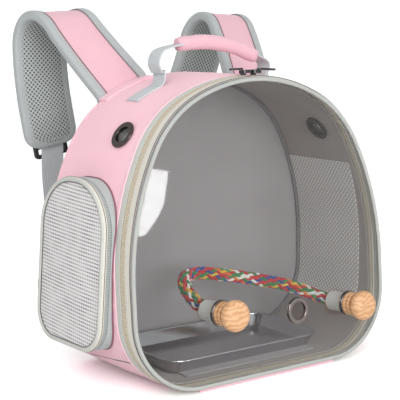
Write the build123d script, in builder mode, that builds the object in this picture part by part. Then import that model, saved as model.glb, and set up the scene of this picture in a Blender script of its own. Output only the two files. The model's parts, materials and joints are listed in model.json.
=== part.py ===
"""Bird travel carrier: a soft-sided backpack cabin with a clear zip-open front door.

Frame: millimetres, +Z up, origin on the floor under the middle of the base. The clear door faces -Y,
the wearer's back panel and the shoulder straps are at +Y, and the side pockets are at -X and +X.
"""

import os
from math import atan, cos, pi, radians, sin, tan
from typing import NamedTuple

from build123d import *

# ---------------------------------------------------------------- driving dimensions
# Cabin arch, drawn from the middle of the floor round to the crown
half_flat = 79  # half the flat floor, at the front
corner_radius = 66  # lower corners
side_rise = 28  # straight side above a corner
side_radius = 250  # bowed side
side_turn = 27.7  # degrees turned by the bowed side
shoulder_radius = 104
crown_half_angle = 26  # degrees of the crown arc each side of the middle
cabin_depth = 144  # front rim to back panel, at the floor
flare = 10  # extra half width of the back panel
lean = 4.57  # degrees that the door leans back

# Fabric, board and zip build-up
base_thickness = 3
shell_wall = 2.0
lining_gap = 0.2
lining_wall = 1.2
back_board = 6
back_lining_wall = 1.2
floor_board_thickness = 2.0
floor_board_margin = 3  # board edge to the flat floor's edge
back_pad_thickness = 7
back_pad_margin = 30
piping_radius = 2.2
seam_binding_radius = 1.6
window_thickness = 0.8
door_tape_width = 8
coil_half_width = 3.2
coil_gap = 0.3  # running gap between the two coil halves
coil_height = 1.8
body_tape_width = 7.4
tape_height = 1.0
tape_sink = 0.5  # tape surface below the shell surface
stitch_gap = 0.1  # between neighbours sewn in one body

# Perch and its holes in the door, seen from the front
hole_places = ((-53, 67), (34, 57), (100, 54.5))  # across, height
perch_holes = (0, 2)  # the holes that the perch is bolted through
grommet_diameter = 24.5
grommet_bore = 17
grommet_barrel_wall = 1.0
grommet_flange = 1.4
grommet_fit = 0.1
bolt_diameter = 8
bolt_grip = 7  # thread inside the knob and inside the cap
bolt_fit = 0.15
cap_diameter = 19
cap_length = 20
washer_diameter = 22
washer_thickness = 1.5
rope_diameter = 13
rope_lead = 11  # straight out of a cap
rope_sway = ((-54, -6, 83), (-34, 9, 88), (2, 6, 82), (42, -1, 73), (80, -8, 63))  # between the leads
rope_bend_share = 0.45  # of the shorter run beside a bend
knob_head_diameter = 28
knob_base_diameter = 22
knob_neck_diameter = 16
knob_base_length = 9
knob_neck_length = 3
knob_head_length = 12
knob_groove = 1.6
knob_edge = 7
knob_back_edge = 4

# Zip sliders and pulls on the crown
slider_length = 10
slider_width = 9
slider_height = 3
slider_corner = 2.4
slider_tongue_length = 5
slider_tongue_width = 2.8
slider_tongue_corner = 0.7
slider_rest_turns = (-1.8, 2.2)  # degrees round the crown, left slider first
door_sweep_clearance = 1.7  # above the door tape, which rises as it swings out
slider_seat = 0.3
pull_lengths = (14, 20)
pull_width = 5
pull_thickness = 1.8
pull_corner = 1.8
pull_hinge_across = 3  # from the slider's middle
pull_seat = 0.15

# Side openings, pockets and eyelets
opening_front = -26
opening_back = 50
opening_bottom = 53
opening_top = 176
opening_radius = 22
mesh_thickness = 0.8
mesh_lap = 11
pocket_middle = 11  # along the side
pocket_width = 103
pocket_bottom = 37
pocket_top = 187
pocket_crown_radius = 47
pocket_foot_radius = 28
pocket_reach = 14  # face out from the side wall at mid height
pocket_tilt = 4  # degrees, top leaning in
pocket_wall = 2.4
pocket_rim_width = 5
pocket_rim_thickness = 6
pocket_rim_round = 1.8
pocket_root_depth = 42  # gusset tube inside the wall plane, before the cabin is cut away
pocket_zip_height = 3.5
pocket_zip_inset = 0.3
pocket_gusset_inset = 1.0
pocket_mesh_thickness = 0.8
pocket_mesh_depth = 2.4  # its inner side below the rim
pocket_running_gap = 0.3
pocket_slider_length = 9
pocket_slider_width = 6.5
pocket_slider_height = 4
pocket_slider_corner = 1.2
eyelet_depth = -7  # along Y
eyelet_angle = 34  # degrees above level, about the shoulder arc's centre
eyelet_diameter = 26
eyelet_bore = 15.6
eyelet_wall = 1.2
eyelet_hole_reach = 26  # each side of the fabric
eyelet_flange = 1.5
eyelet_stand = 0.95  # flange over the curved fabric
eyelet_screen = 0.6

# Top handle
handle_depth = 20  # along Y
handle_webbing_width = 20
webbing_thickness = 1.6
handle_tab_inner = 59
handle_tab_outer = 90
handle_pivot_rise = 11  # pivot above the shell at the tab
handle_running_gap = 0.4
handle_lap = 3  # fixed webbing beside the riser, above the pivot
riser_bulge = 4
riser_left_rises = (9, 20.5)  # bend heights above the pivot
riser_right_rises = (7, 11.8)
grip_diameter = 14
grip_left = (-41, 302.5)  # across, height
grip_top = (0, 305)
grip_right = (53, 291.5)
grip_seat = 1  # webbing end to grip end

# Shoulder straps
strap_width = 57
strap_pad_thickness = 6
strap_mesh_thickness = 3
strap_root_depth = 76  # along Y
strap_root_height = 262
strap_rise_angle = 50


class StrapShape(NamedTuple):
    """How one soft strap lies: places across the cabin, and its crest behind the wearer's side."""

    side: int  # -1 left, 1 right
    root: float  # across, at the top seam
    tilt: float  # degrees, outer edge down, at the top seam
    end: float  # across, at the pad's lower end
    bow: float  # bowed outward between them
    rise: float  # straight length up to the crest
    crest: float  # crest radius
    turn: float  # degrees over the crest
    fall: float  # straight length down from the crest


strap_shapes = {
    "left": StrapShape(side=-1, root=67, tilt=22, end=92, bow=22, rise=77, crest=28, turn=142, fall=101),
    "right": StrapShape(side=1, root=87, tilt=8, end=68, bow=27, rise=80, crest=28, turn=132, fall=104),
}
arch_tilt = 22  # degrees, slope of the arch where the straps are sewn
strap_tilt_fade = 0.5  # share of the path over which a root's tilt fades out
strap_start = 0.05  # share of the path left free above the root
strap_stations = 9
strap_patch_reach = 13
lock_width = 38
lock_height = 24
lock_thickness = 5
lock_bar = 4
lower_webbing_width = 25
lower_webbing_seat = 0.3  # pad end to webbing
lower_webbing_hang = ((0.15, 3, 38), (0.4, 18, 82), (0.75, 52, 130))  # share across, forward, down
lower_webbing_gap = 0.3  # anchor tip to webbing
anchor_across = 100
anchor_depth = 88
anchor_height = 24
anchor_tip_radius = 3
anchor_base_half = 14
anchor_thickness = 5

# Tray on the floor
tray_half_width = 84
tray_front = -43
tray_back = 60
tray_height = 13
tray_wall = 1.0
tray_flare = 8
tray_corner = 12

# ---------------------------------------------------------------- derived places
floor_y_front = -cabin_depth / 2
floor_y_back = cabin_depth / 2
lean_slope = tan(radians(lean))
flare_slope = flare / cabin_depth
flare_angle = atan(flare_slope)
band_coil_door = door_tape_width + stitch_gap
band_coil_body = band_coil_door + coil_half_width + coil_gap
band_body_tape = band_coil_body + coil_half_width + stitch_gap
band_shell = band_body_tape + body_tape_width
shell_back = floor_y_back - back_board
lining_inset = shell_wall + lining_gap
inner_inset = lining_inset + lining_wall


def spread_at(y):
    """Extra half width of the cabin at a depth y."""
    return flare_slope * (y - floor_y_front)


def crown(y, inset=0.0):
    """Centre height and radius of the crown arc at a depth y."""
    side_x = half_flat + spread_at(y) + corner_radius - side_radius
    turn = radians(side_turn)
    half = radians(crown_half_angle)
    shoulder_x = side_x + (side_radius - shoulder_radius) * cos(turn)
    shoulder_z = base_thickness + corner_radius + side_rise + (side_radius - shoulder_radius) * sin(turn)
    return shoulder_z - shoulder_x / tan(half), shoulder_radius + shoulder_x / sin(half) - inset


def crown_height(y, x):
    """Height of the shell's outside on the crown arc, at depth y and across x."""
    centre, radius = crown(y)
    return centre + (radius**2 - x**2) ** 0.5


def shoulder_centre(y):
    """Centre of the right shoulder arc at a depth y, as across and height."""
    turn = radians(side_turn)
    reach = side_radius - shoulder_radius
    across = half_flat + spread_at(y) + corner_radius - side_radius + reach * cos(turn)
    return across, base_thickness + corner_radius + side_rise + reach * sin(turn)


def arch(spread, inset):
    """The cabin's closed arch as a flat face, drawn in by inset."""
    flat = half_flat + spread
    corner = Vector(flat, base_thickness + corner_radius)
    wall = flat + corner_radius - inset
    side = Vector(flat + corner_radius - side_radius, base_thickness + corner_radius + side_rise)
    turn = radians(side_turn)
    shoulder = side + Vector(cos(turn), sin(turn)) * (side_radius - shoulder_radius)
    half = radians(crown_half_angle)
    top_radius = shoulder_radius + shoulder.X / sin(half)
    top = Vector(0, shoulder.Y - shoulder.X / tan(half))
    with BuildSketch() as face:
        with BuildLine():
            Line((0, base_thickness + inset), (flat, base_thickness + inset))
            CenterArc(corner, corner_radius - inset, -90, 90)
            Line((wall, corner.Y), (wall, side.Y))
            CenterArc(side, side_radius - inset, 0, side_turn)
            CenterArc(shoulder, shoulder_radius - inset, side_turn, 90 - crown_half_angle - side_turn)
            CenterArc(top, top_radius - inset, 90 - crown_half_angle, crown_half_angle)
            mirror(about=Plane.YZ)
        make_face()
    return face.sketch


def upright(y):
    """Vertical plane across the cabin at depth y, facing the front."""
    return Plane.XZ.offset(-y)


def rim_plane(behind):
    """Plane parallel to the leaning door, a distance behind the front rim, facing the front."""
    foot = Vector(0, floor_y_front - base_thickness * lean_slope + behind, 0)
    tilt = radians(lean)
    return Plane(origin=foot, x_dir=(1, 0, 0), z_dir=(0, -cos(tilt), sin(tilt)))


def sleeve(outer, inner, start, stop=None, back=floor_y_back):
    """Arch-shaped band of the cabin wall, from start to stop behind the rim."""
    ends = (floor_y_front - 2 * piping_radius, back)
    with BuildPart() as band:
        for y in ends:
            with BuildSketch(upright(y)):
                add(arch(spread_at(y), outer))
        loft(ruled=True)
        for y in ends:
            with BuildSketch(upright(y)):
                add(arch(spread_at(y), inner))
        loft(ruled=True, mode=Mode.SUBTRACT)
        split(bisect_by=rim_plane(start), keep=Keep.BOTTOM)
        if stop is not None:
            split(bisect_by=rim_plane(stop), keep=Keep.TOP)
    return band


def side_opening(grow=0.0):
    """The rounded opening of a side wall as a flat face seen from the side, drawn out by grow."""
    with BuildSketch(Plane.YZ) as face:
        with Locations(((opening_back + opening_front) / 2, (opening_top + opening_bottom) / 2)):
            RectangleRounded(
                opening_back - opening_front + 2 * grow,
                opening_top - opening_bottom + 2 * grow,
                opening_radius + grow,
            )
    return face.sketch


def cut_sides():
    """Cut the rounded opening through both side walls of the current part."""
    extrude(side_opening(), amount=2 * cabin_depth, both=True, mode=Mode.SUBTRACT)


def eyelet_plane(side):
    """Plane on the shoulder fabric at an eyelet, facing out; side is -1 left or 1 right."""
    across, height = shoulder_centre(eyelet_depth)
    turn = radians(eyelet_angle)
    out = Vector(side * cos(turn), -flare_slope * cos(turn), sin(turn))
    reach = across + shoulder_radius * cos(turn)
    foot = Vector(side * reach, eyelet_depth, height + shoulder_radius * sin(turn))
    return Plane(origin=foot, x_dir=(0, 1, 0), z_dir=out)


def cut_eyelets():
    """Cut the two eyelet barrels' holes through the current part."""
    for side in (-1, 1):
        with BuildSketch(eyelet_plane(side)) as barrel:
            Circle(eyelet_bore / 2 + eyelet_wall + stitch_gap)
        extrude(barrel.sketch, amount=eyelet_hole_reach, both=True, mode=Mode.SUBTRACT)


def mirrored(part):
    """The same piece on the other side of the carrier."""
    with BuildPart() as other:
        add(mirror(part.part, about=Plane.YZ, mode=Mode.PRIVATE))
    return other


def together(parts):
    """Like pieces as one group of separate solids."""
    with BuildPart() as group:
        for part in parts:
            add(part.part)
    return group


pieces = {}

# ---------------------------------------------------------------- cabin
with BuildPart() as base_panel:
    with BuildSketch():
        with BuildLine():
            Polyline(
                (-half_flat, floor_y_front),
                (half_flat, floor_y_front),
                (half_flat + flare, floor_y_back),
                (-half_flat - flare, floor_y_back),
                close=True,
            )
        make_face()
    extrude(amount=base_thickness)
pieces["base_panel"] = base_panel

with BuildPart() as gusset_shell:
    add(sleeve(0, shell_wall, band_shell, back=shell_back).part)
    cut_sides()
    cut_eyelets()
pieces["gusset_shell"] = gusset_shell

with BuildPart() as gusset_lining:
    add(sleeve(lining_inset, inner_inset, band_body_tape, back=shell_back).part)
    cut_sides()
    cut_eyelets()
pieces["gusset_lining"] = gusset_lining

with BuildPart() as back_panel:
    with BuildSketch(upright(floor_y_back)):
        add(arch(spread_at(shell_back), 0))
    extrude(amount=back_board - stitch_gap)
pieces["back_panel"] = back_panel

with BuildPart() as back_lining:
    with BuildSketch(upright(shell_back - stitch_gap)):
        add(arch(spread_at(shell_back), inner_inset + stitch_gap))
    extrude(amount=back_lining_wall)
pieces["back_lining"] = back_lining

with BuildPart() as back_pad:
    with BuildSketch(upright(floor_y_back + back_pad_thickness)):
        add(arch(flare, back_pad_margin))
    extrude(amount=back_pad_thickness)
    fillet(back_pad.faces().sort_by(Axis.Y)[-1].edges(), back_pad_thickness / 2)
pieces["back_pad"] = back_pad

seam_depth = shell_back - back_lining_wall - 2 * stitch_gap - seam_binding_radius
board_front = floor_y_front + band_shell + floor_board_margin
board_back = seam_depth - seam_binding_radius - floor_board_margin
with BuildPart() as floor_board:
    with BuildSketch(Plane.XY.offset(base_thickness + inner_inset + stitch_gap)):
        with Locations((0, (board_back + board_front) / 2)):
            board_width = 2 * (half_flat - floor_board_margin)
            RectangleRounded(board_width, board_back - board_front, floor_board_margin)
    extrude(amount=floor_board_thickness)
pieces["floor_board"] = floor_board


def arch_tube(plane, spread, inset, radius):
    """Round binding that follows the arch on a plane."""
    path = plane.from_local_coords(arch(spread, inset).face().outer_wire())
    start = plane.from_local_coords(Vector(0, base_thickness + inset, 0))
    with BuildPart() as tube:
        with BuildSketch(Plane(origin=start, x_dir=plane.z_dir, z_dir=(1, 0, 0))):
            Circle(radius)
        sweep(path=path)
    return tube


pieces["back_seam_binding"] = arch_tube(
    upright(seam_depth),
    spread_at(seam_depth),
    inner_inset + 2 * stitch_gap + seam_binding_radius,
    seam_binding_radius,
)

pieces["zipper_tape_body"] = sleeve(
    tape_sink, tape_sink + tape_height, band_body_tape, band_shell - stitch_gap
)
pieces["zipper_coil_body"] = sleeve(
    stitch_gap, stitch_gap + coil_height, band_coil_body, band_coil_body + coil_half_width
)

# ---------------------------------------------------------------- front door
pieces["zipper_coil_door"] = sleeve(
    stitch_gap, stitch_gap + coil_height, band_coil_door, band_coil_door + coil_half_width
)
pieces["zipper_tape_door"] = sleeve(tape_sink, tape_sink + tape_height, stitch_gap, door_tape_width)
pieces["door_piping"] = arch_tube(
    rim_plane(-piping_radius), 0, piping_radius + stitch_gap, piping_radius
)


def window_plane(hole, out=0.0):
    """Plane on the window's front face at a hole, facing out."""
    across, height = hole
    rim = rim_plane(-piping_radius - window_thickness / 2)
    foot = rim.from_local_coords(Vector(across, height / cos(radians(lean)), out))
    return Plane(origin=foot, x_dir=rim.x_dir, z_dir=rim.z_dir)


with BuildPart() as window:
    with BuildSketch(rim_plane(-piping_radius - window_thickness / 2)):
        add(arch(0, 2 * piping_radius + 2 * stitch_gap))
    extrude(amount=-window_thickness)
    for hole in hole_places:
        with BuildSketch(window_plane(hole)) as bore:
            Circle(grommet_bore / 2 + grommet_barrel_wall + grommet_fit)
        extrude(bore.sketch, amount=-2 * window_thickness, mode=Mode.SUBTRACT)
pieces["window"] = window


def turned(plane, *profile):
    """Solid of revolution about a plane's normal, from (radius, height) points."""
    axis = Plane(origin=plane.origin, x_dir=plane.x_dir, z_dir=-plane.y_dir)
    with BuildPart() as solid:
        with BuildSketch(axis):
            with BuildLine():
                Polyline(*profile, close=True)
            make_face()
        revolve(axis=Axis(plane.origin, plane.z_dir))
    return solid


for place, hole in zip(("left", "middle", "right"), hole_places):
    bore = grommet_bore / 2
    barrel = bore + grommet_barrel_wall
    rim = grommet_diameter / 2
    front = grommet_fit
    back = -window_thickness - grommet_fit
    pieces[f"grommet_{place}"] = turned(
        window_plane(hole),
        (bore, front + grommet_flange),
        (rim, front + grommet_flange),
        (rim, front),
        (barrel, front),
        (barrel, back),
        (rim, back),
        (rim, back - grommet_flange),
        (bore, back - grommet_flange),
    )

perch_bolts = []
perch_washers = []
cap_front = -window_thickness - grommet_fit - grommet_flange - stitch_gap - washer_thickness - stitch_gap
cap_back = cap_front - cap_length
knob_front = grommet_fit + grommet_flange + stitch_gap
for place, index in zip(("left", "right"), perch_holes):
    plane = window_plane(hole_places[index])
    neck = knob_neck_diameter / 2
    base = knob_base_diameter / 2
    head = knob_head_diameter / 2
    shank = bolt_diameter / 2
    neck_top = knob_front + knob_base_length + knob_neck_length
    knob_top = neck_top + knob_head_length
    washer = turned(
        plane,
        (shank + bolt_fit, cap_front + stitch_gap),
        (washer_diameter / 2, cap_front + stitch_gap),
        (washer_diameter / 2, cap_front + stitch_gap + washer_thickness),
        (shank + bolt_fit, cap_front + stitch_gap + washer_thickness),
    )
    perch_washers.append(washer)
    bolt = turned(
        plane,
        (0, cap_front - bolt_grip),
        (shank, cap_front - bolt_grip),
        (shank, knob_front + bolt_grip),
        (0, knob_front + bolt_grip),
    )
    perch_bolts.append(bolt)
    pieces[f"perch_cap_{place}"] = turned(
        plane,
        (0, cap_front - bolt_grip - bolt_fit),
        (shank + bolt_fit, cap_front - bolt_grip - bolt_fit),
        (shank + bolt_fit, cap_front),
        (cap_diameter / 2, cap_front),
        (cap_diameter / 2, cap_back),
        (rope_diameter / 2 + bolt_fit, cap_back),
        (rope_diameter / 2 + bolt_fit, (cap_front - bolt_grip + cap_back) / 2),
        (0, (cap_front - bolt_grip + cap_back) / 2),
    )
    groove = knob_front + (knob_base_length - knob_groove) / 2
    knob_body = turned(
        plane,
        (shank + bolt_fit, knob_front),
        (base, knob_front),
        (base, groove),
        (base - knob_groove, groove),
        (base - knob_groove, groove + knob_groove),
        (base, groove + knob_groove),
        (base, knob_front + knob_base_length),
        (neck, knob_front + knob_base_length),
        (neck, neck_top),
        (head, neck_top),
        (head, knob_top),
        (0, knob_top),
        (0, knob_front + bolt_grip + bolt_fit),
        (shank + bolt_fit, knob_front + bolt_grip + bolt_fit),
    )
    with BuildPart() as knob:
        add(knob_body.part)
        for rim_place, radius in ((0, knob_edge), (-1, knob_back_edge)):
            rims = knob.edges().filter_by(GeomType.CIRCLE).group_by(SortBy.RADIUS)[-1]
            fillet(rims.sort_by(Axis.Y)[rim_place], radius)
    pieces[f"knob_{place}"] = knob
pieces["perch_washers"] = together(perch_washers)
pieces["perch_bolts"] = together(perch_bolts)

rope_ends = [
    window_plane(hole_places[index], (cap_front - bolt_grip + cap_back) / 2 - bolt_fit)
    for index in perch_holes
]
rope_leads = [window_plane(hole_places[index], cap_back - rope_lead) for index in perch_holes]
rope_route = [
    rope_ends[0].origin,
    rope_leads[0].origin,
    *(Vector(*place) for place in rope_sway),
    rope_leads[1].origin,
    rope_ends[1].origin,
]
with BuildPart() as perch_rope:
    runs = [b - a for a, b in zip(rope_route, rope_route[1:])]
    bends = [
        rope_bend_share * min(a.length, b.length) / tan(radians(a.get_angle(b) / 2))
        for a, b in zip(runs, runs[1:])
    ]
    print("perch rope radii", [round(bend) for bend in bends])
    with BuildLine() as route:
        FilletPolyline(*rope_route, radius=bends)
    with BuildSketch(Plane(origin=route.line @ 0, z_dir=route.line % 0)):
        Circle(rope_diameter / 2)
    sweep(path=route.line)
    rope_length = sum(edge.length for edge in route.line.edges())
    rope_share = perch_rope.part.volume / (rope_length * pi * rope_diameter**2 / 4)
    print("perch rope length", round(rope_length), "volume share", round(rope_share, 3))
pieces["perch_rope"] = perch_rope

# ---------------------------------------------------------------- zip sliders
def zip_depth(rounds=3):
    """Depth of the body coil at the top of the crown, closing in on it from the floor's."""
    y = floor_y_front + band_coil_body
    for _ in range(rounds):
        y = floor_y_front + (crown_height(y, 0) - base_thickness) * lean_slope + band_coil_body
    return y


slide_y = zip_depth()
slide_radius = crown(slide_y)[1]
slide_up = Vector(0, sin(radians(lean)), cos(radians(lean)))
slide_centre = Vector(0, slide_y, crown_height(slide_y, 0)) - slide_up * slide_radius


def on_crown(turn, out):
    """Plane riding on the zip at an angle round the crown, facing out; x runs along the zip."""
    angle = radians(turn)
    radial = Vector(1, 0, 0) * sin(angle) + slide_up * cos(angle)
    along = Vector(1, 0, 0) * cos(angle) - slide_up * sin(angle)
    return Plane(origin=slide_centre + radial * (slide_radius + out), x_dir=along, z_dir=radial)


slider_plan = zip(("left", "right"), slider_rest_turns, (-1, 1), pull_lengths)
for place, turn, outward, pull_length in slider_plan:
    high = door_sweep_clearance
    with BuildPart() as slider:
        with BuildSketch(on_crown(turn, high)):
            RectangleRounded(slider_length, slider_width, slider_corner)
        extrude(amount=slider_height)
        with BuildSketch(on_crown(turn, slider_seat)):
            with Locations((0, coil_half_width)):
                RectangleRounded(slider_tongue_length, slider_tongue_width, slider_tongue_corner)
        extrude(amount=high)
    pieces[f"slider_{place}"] = slider
    bridge = on_crown(turn, high + slider_height + pull_seat)
    with BuildPart() as pull:
        with BuildSketch(bridge):
            with Locations((outward * (pull_hinge_across + pull_length / 2), 0)):
                RectangleRounded(pull_length, pull_width, pull_corner)
        extrude(amount=pull_thickness)
    pieces[f"pull_{place}"] = pull
    hinge = bridge.from_local_coords(Vector(outward * pull_hinge_across, 0, pull_thickness / 2))
    print("pull hinge", place, hinge, "slider centre", slide_centre)

# ---------------------------------------------------------------- eyelets
for place, side in (("left", -1), ("right", 1)):
    bore = eyelet_bore / 2
    barrel = bore + eyelet_wall
    rim = eyelet_diameter / 2
    inside = -inner_inset - eyelet_stand
    pieces[f"eyelet_{place}"] = turned(
        eyelet_plane(side),
        (bore, eyelet_stand + eyelet_flange),
        (rim, eyelet_stand + eyelet_flange),
        (rim, eyelet_stand),
        (barrel, eyelet_stand),
        (barrel, inside),
        (rim, inside),
        (rim, inside - eyelet_flange),
        (bore, inside - eyelet_flange),
    )
with BuildPart() as eyelet_screens:
    for side in (-1, 1):
        with BuildSketch(eyelet_plane(side)):
            Circle(eyelet_bore / 2 - stitch_gap)
        extrude(amount=-eyelet_screen)
pieces["eyelet_screens"] = eyelet_screens

# ---------------------------------------------------------------- side mesh and pockets
screen_outer = inner_inset + stitch_gap
with BuildPart() as screen_band:
    add(sleeve(screen_outer, screen_outer + mesh_thickness, band_body_tape, back=seam_depth).part)
    extrude(side_opening(mesh_lap), amount=-2 * cabin_depth, mode=Mode.INTERSECT)
pieces["side_mesh_left"] = screen_band
pieces["side_mesh_right"] = mirrored(screen_band)

tilt = radians(pocket_tilt)
wall_out = Vector(-cos(flare_angle) * cos(tilt), -sin(flare_angle) * cos(tilt), sin(tilt))
wall_x = half_flat + corner_radius + spread_at(pocket_middle)
pocket_plane = Plane(
    origin=(-wall_x, pocket_middle, base_thickness + corner_radius + side_rise / 2),
    x_dir=(sin(flare_angle), -cos(flare_angle), 0),
    z_dir=wall_out,
)
pocket_low = pocket_bottom - pocket_plane.origin.Z
pocket_high = pocket_top - pocket_plane.origin.Z


def pocket_outline(inset):
    """The pocket's D-shaped outline as a flat face, drawn in by inset."""
    half = pocket_width / 2 - inset
    with BuildSketch() as face:
        with Locations((0, (pocket_high + pocket_low) / 2)):
            Rectangle(2 * half, pocket_high - pocket_low - 2 * inset)
        fillet(face.vertices().group_by(Axis.Y)[-1], pocket_crown_radius - inset)
        fillet(face.vertices().group_by(Axis.Y)[0], pocket_foot_radius - inset)
    return face.sketch


def pocket_ring(outer, inner, low, high):
    """Ring on the pocket's outline between two heights off the wall plane."""
    with BuildPart() as ring:
        with BuildSketch(pocket_plane.offset(low)):
            add(pocket_outline(outer))
            add(pocket_outline(inner), mode=Mode.SUBTRACT)
        extrude(amount=high - low)
    return ring


with BuildPart() as cabin_block:
    for y in (floor_y_front - cabin_depth, floor_y_back + cabin_depth):
        with BuildSketch(upright(y)):
            add(arch(spread_at(y), -stitch_gap))
    loft(ruled=True)

rim_low = pocket_reach - pocket_rim_thickness
zip_low = rim_low - pocket_running_gap - pocket_zip_height
gusset_top = zip_low - stitch_gap
with BuildPart() as pocket_gusset:
    gusset_inner = pocket_gusset_inset + pocket_wall
    add(pocket_ring(pocket_gusset_inset, gusset_inner, -pocket_root_depth, gusset_top).part)
    add(cabin_block.part, mode=Mode.SUBTRACT)
    split(bisect_by=Plane.YZ.offset(-wall_x / 2), keep=Keep.BOTTOM)
pieces["pocket_gusset_left"] = pocket_gusset
pieces["pocket_gusset_right"] = mirrored(pocket_gusset)
zip_inner = pocket_zip_inset + pocket_wall
pocket_zip = pocket_ring(pocket_zip_inset, zip_inner, zip_low, zip_low + pocket_zip_height)
pieces["pocket_zip_left"] = pocket_zip
pieces["pocket_zip_right"] = mirrored(pocket_zip)
with BuildPart() as pocket_rim:
    add(pocket_ring(0, pocket_rim_width, rim_low, pocket_reach).part)
    fillet(pocket_rim.faces().sort_by(Axis.X)[0].outer_wire().edges(), pocket_rim_round)
pieces["pocket_rim_left"] = pocket_rim
pieces["pocket_rim_right"] = mirrored(pocket_rim)
with BuildPart() as pocket_mesh:
    with BuildSketch(pocket_plane.offset(pocket_reach - pocket_mesh_depth)):
        add(pocket_outline(pocket_rim_width + stitch_gap))
    extrude(amount=pocket_mesh_thickness)
pieces["pocket_mesh_left"] = pocket_mesh
pieces["pocket_mesh_right"] = mirrored(pocket_mesh)
slider_line = -pocket_width / 2 - pocket_running_gap
with BuildPart() as pocket_slider:
    with BuildSketch(pocket_plane.offset(zip_low)):
        with Locations((slider_line - pocket_slider_height / 2, 0)):
            RectangleRounded(pocket_slider_height, pocket_slider_length, pocket_slider_corner)
    extrude(amount=pocket_slider_width)
pieces["pocket_slider_left"] = pocket_slider
pieces["pocket_slider_right"] = mirrored(pocket_slider)

# ---------------------------------------------------------------- top handle
handle_pivot = crown_height(handle_depth, handle_tab_inner) + handle_pivot_rise
with BuildPart() as handle_tab:
    add(sleeve(-webbing_thickness - stitch_gap, -stitch_gap, band_shell).part)
    with Locations((-(handle_tab_inner + handle_tab_outer) / 2, handle_depth, crown_height(handle_depth, 0))):
        Box(
            handle_tab_outer - handle_tab_inner,
            handle_webbing_width,
            shoulder_radius,
            mode=Mode.INTERSECT,
        )
    tongue_middle = handle_tab_inner + webbing_thickness / 2
    tongue_foot = crown_height(handle_depth + handle_webbing_width / 2, tongue_middle) + webbing_thickness / 2
    with Locations((-tongue_middle, handle_depth, tongue_foot)):
        Box(
            webbing_thickness,
            handle_webbing_width,
            handle_pivot + handle_lap - tongue_foot,
            align=(Align.CENTER, Align.CENTER, Align.MIN),
        )
pieces["handle_tabs"] = together((handle_tab, mirrored(handle_tab)))


def webbing_run(*points):
    """Webbing as wide as the handle strap, along points across and up."""
    with BuildPart() as band:
        with BuildSketch(upright(handle_depth)):
            with BuildLine() as run:
                Spline(*points)
            trace(run.line, line_width=webbing_thickness)
        extrude(amount=handle_webbing_width / 2, both=True)
    return band


riser_foot = handle_tab_inner + 1.5 * webbing_thickness + handle_running_gap
pieces["handle_riser_left"] = webbing_run(
    (-riser_foot, handle_pivot),
    (-riser_foot - riser_bulge, handle_pivot + riser_left_rises[0]),
    (-riser_foot + riser_bulge / 2, handle_pivot + riser_left_rises[1]),
    (grip_left[0] - grip_seat, grip_left[1]),
)
pieces["handle_riser_right"] = webbing_run(
    (riser_foot, handle_pivot),
    (riser_foot + riser_bulge / 2, handle_pivot + riser_right_rises[0]),
    (riser_foot - riser_bulge / 2, handle_pivot + riser_right_rises[1]),
    (grip_right[0] + grip_seat, grip_right[1]),
)
grip_places = (grip_left, grip_top, grip_right)
with BuildPart() as handle_grip:
    with BuildLine() as grip_line:
        ThreePointArc(*(Vector(across, handle_depth, height) for across, height in grip_places))
    with BuildSketch(Plane(origin=grip_line.line @ 0, x_dir=(0, 1, 0), z_dir=grip_line.line % 0)):
        Circle(grip_diameter / 2)
    sweep(path=grip_line.line)
pieces["handle_grip"] = handle_grip

# ---------------------------------------------------------------- shoulder straps
def strap_path(shape):
    """The strap's middle line seen from the side, as a wire."""
    with BuildLine(Plane.YZ) as side_view:
        rise = PolarLine((strap_root_depth, strap_root_height), shape.rise, strap_rise_angle)
        crest = JernArc(rise @ 1, rise % 1, shape.crest, -shape.turn)
        PolarLine(crest @ 1, shape.fall, strap_rise_angle - shape.turn)
    return Wire(side_view.edges())


def strap_point(shape, path, share):
    """A point on a strap's middle line, at a share of its length."""
    side_view = path @ share
    across = shape.root + (shape.end - shape.root) * share + shape.bow * sin(pi * share)
    return Vector(shape.side * across, side_view.Y, side_view.Z)


def strap_plane(shape, path, share):
    """Plane across a strap at a share of its length; x runs across it, y to the wearer's side."""
    step = 0.01
    ahead = strap_point(shape, path, min(share + step, 1))
    along = (ahead - strap_point(shape, path, max(share - step, 0))).normalized()
    roll = -shape.side * radians(shape.tilt) * max(0.0, 1 - share / strap_tilt_fade)
    across = Vector(cos(roll), 0, sin(roll))
    across = (across - along * across.dot(along)).normalized()
    return Plane(origin=strap_point(shape, path, share), x_dir=across, z_dir=along)


def strap_layer(shape, low, high):
    """One layer of a strap pad, between two heights off its middle surface."""
    path = strap_path(shape)
    with BuildPart() as layer:
        for index in range(strap_stations + 1):
            share = strap_start + (1 - strap_start) * index / strap_stations
            with BuildSketch(strap_plane(shape, path, share)):
                with Locations((0, (low + high) / 2)):
                    Rectangle(strap_width, high - low)
        loft(ruled=True)
    return layer


def ladder_lock(end):
    """Moulded buckle on the outer face of a strap's end."""
    face = Plane(
        origin=end.from_local_coords(Vector(0, -strap_pad_thickness - stitch_gap - lock_thickness / 2, 0)),
        x_dir=end.x_dir,
        z_dir=end.y_dir,
    )
    with BuildPart() as lock:
        with BuildSketch(face):
            RectangleRounded(lock_width, lock_height, lock_bar)
            with GridLocations(0, (lock_height - lock_bar) / 2, 1, 2):
                Rectangle(lock_width - 2 * lock_bar, (lock_height - 3 * lock_bar) / 2, mode=Mode.SUBTRACT)
        extrude(amount=lock_thickness / 2, both=True)
    return lock


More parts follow.
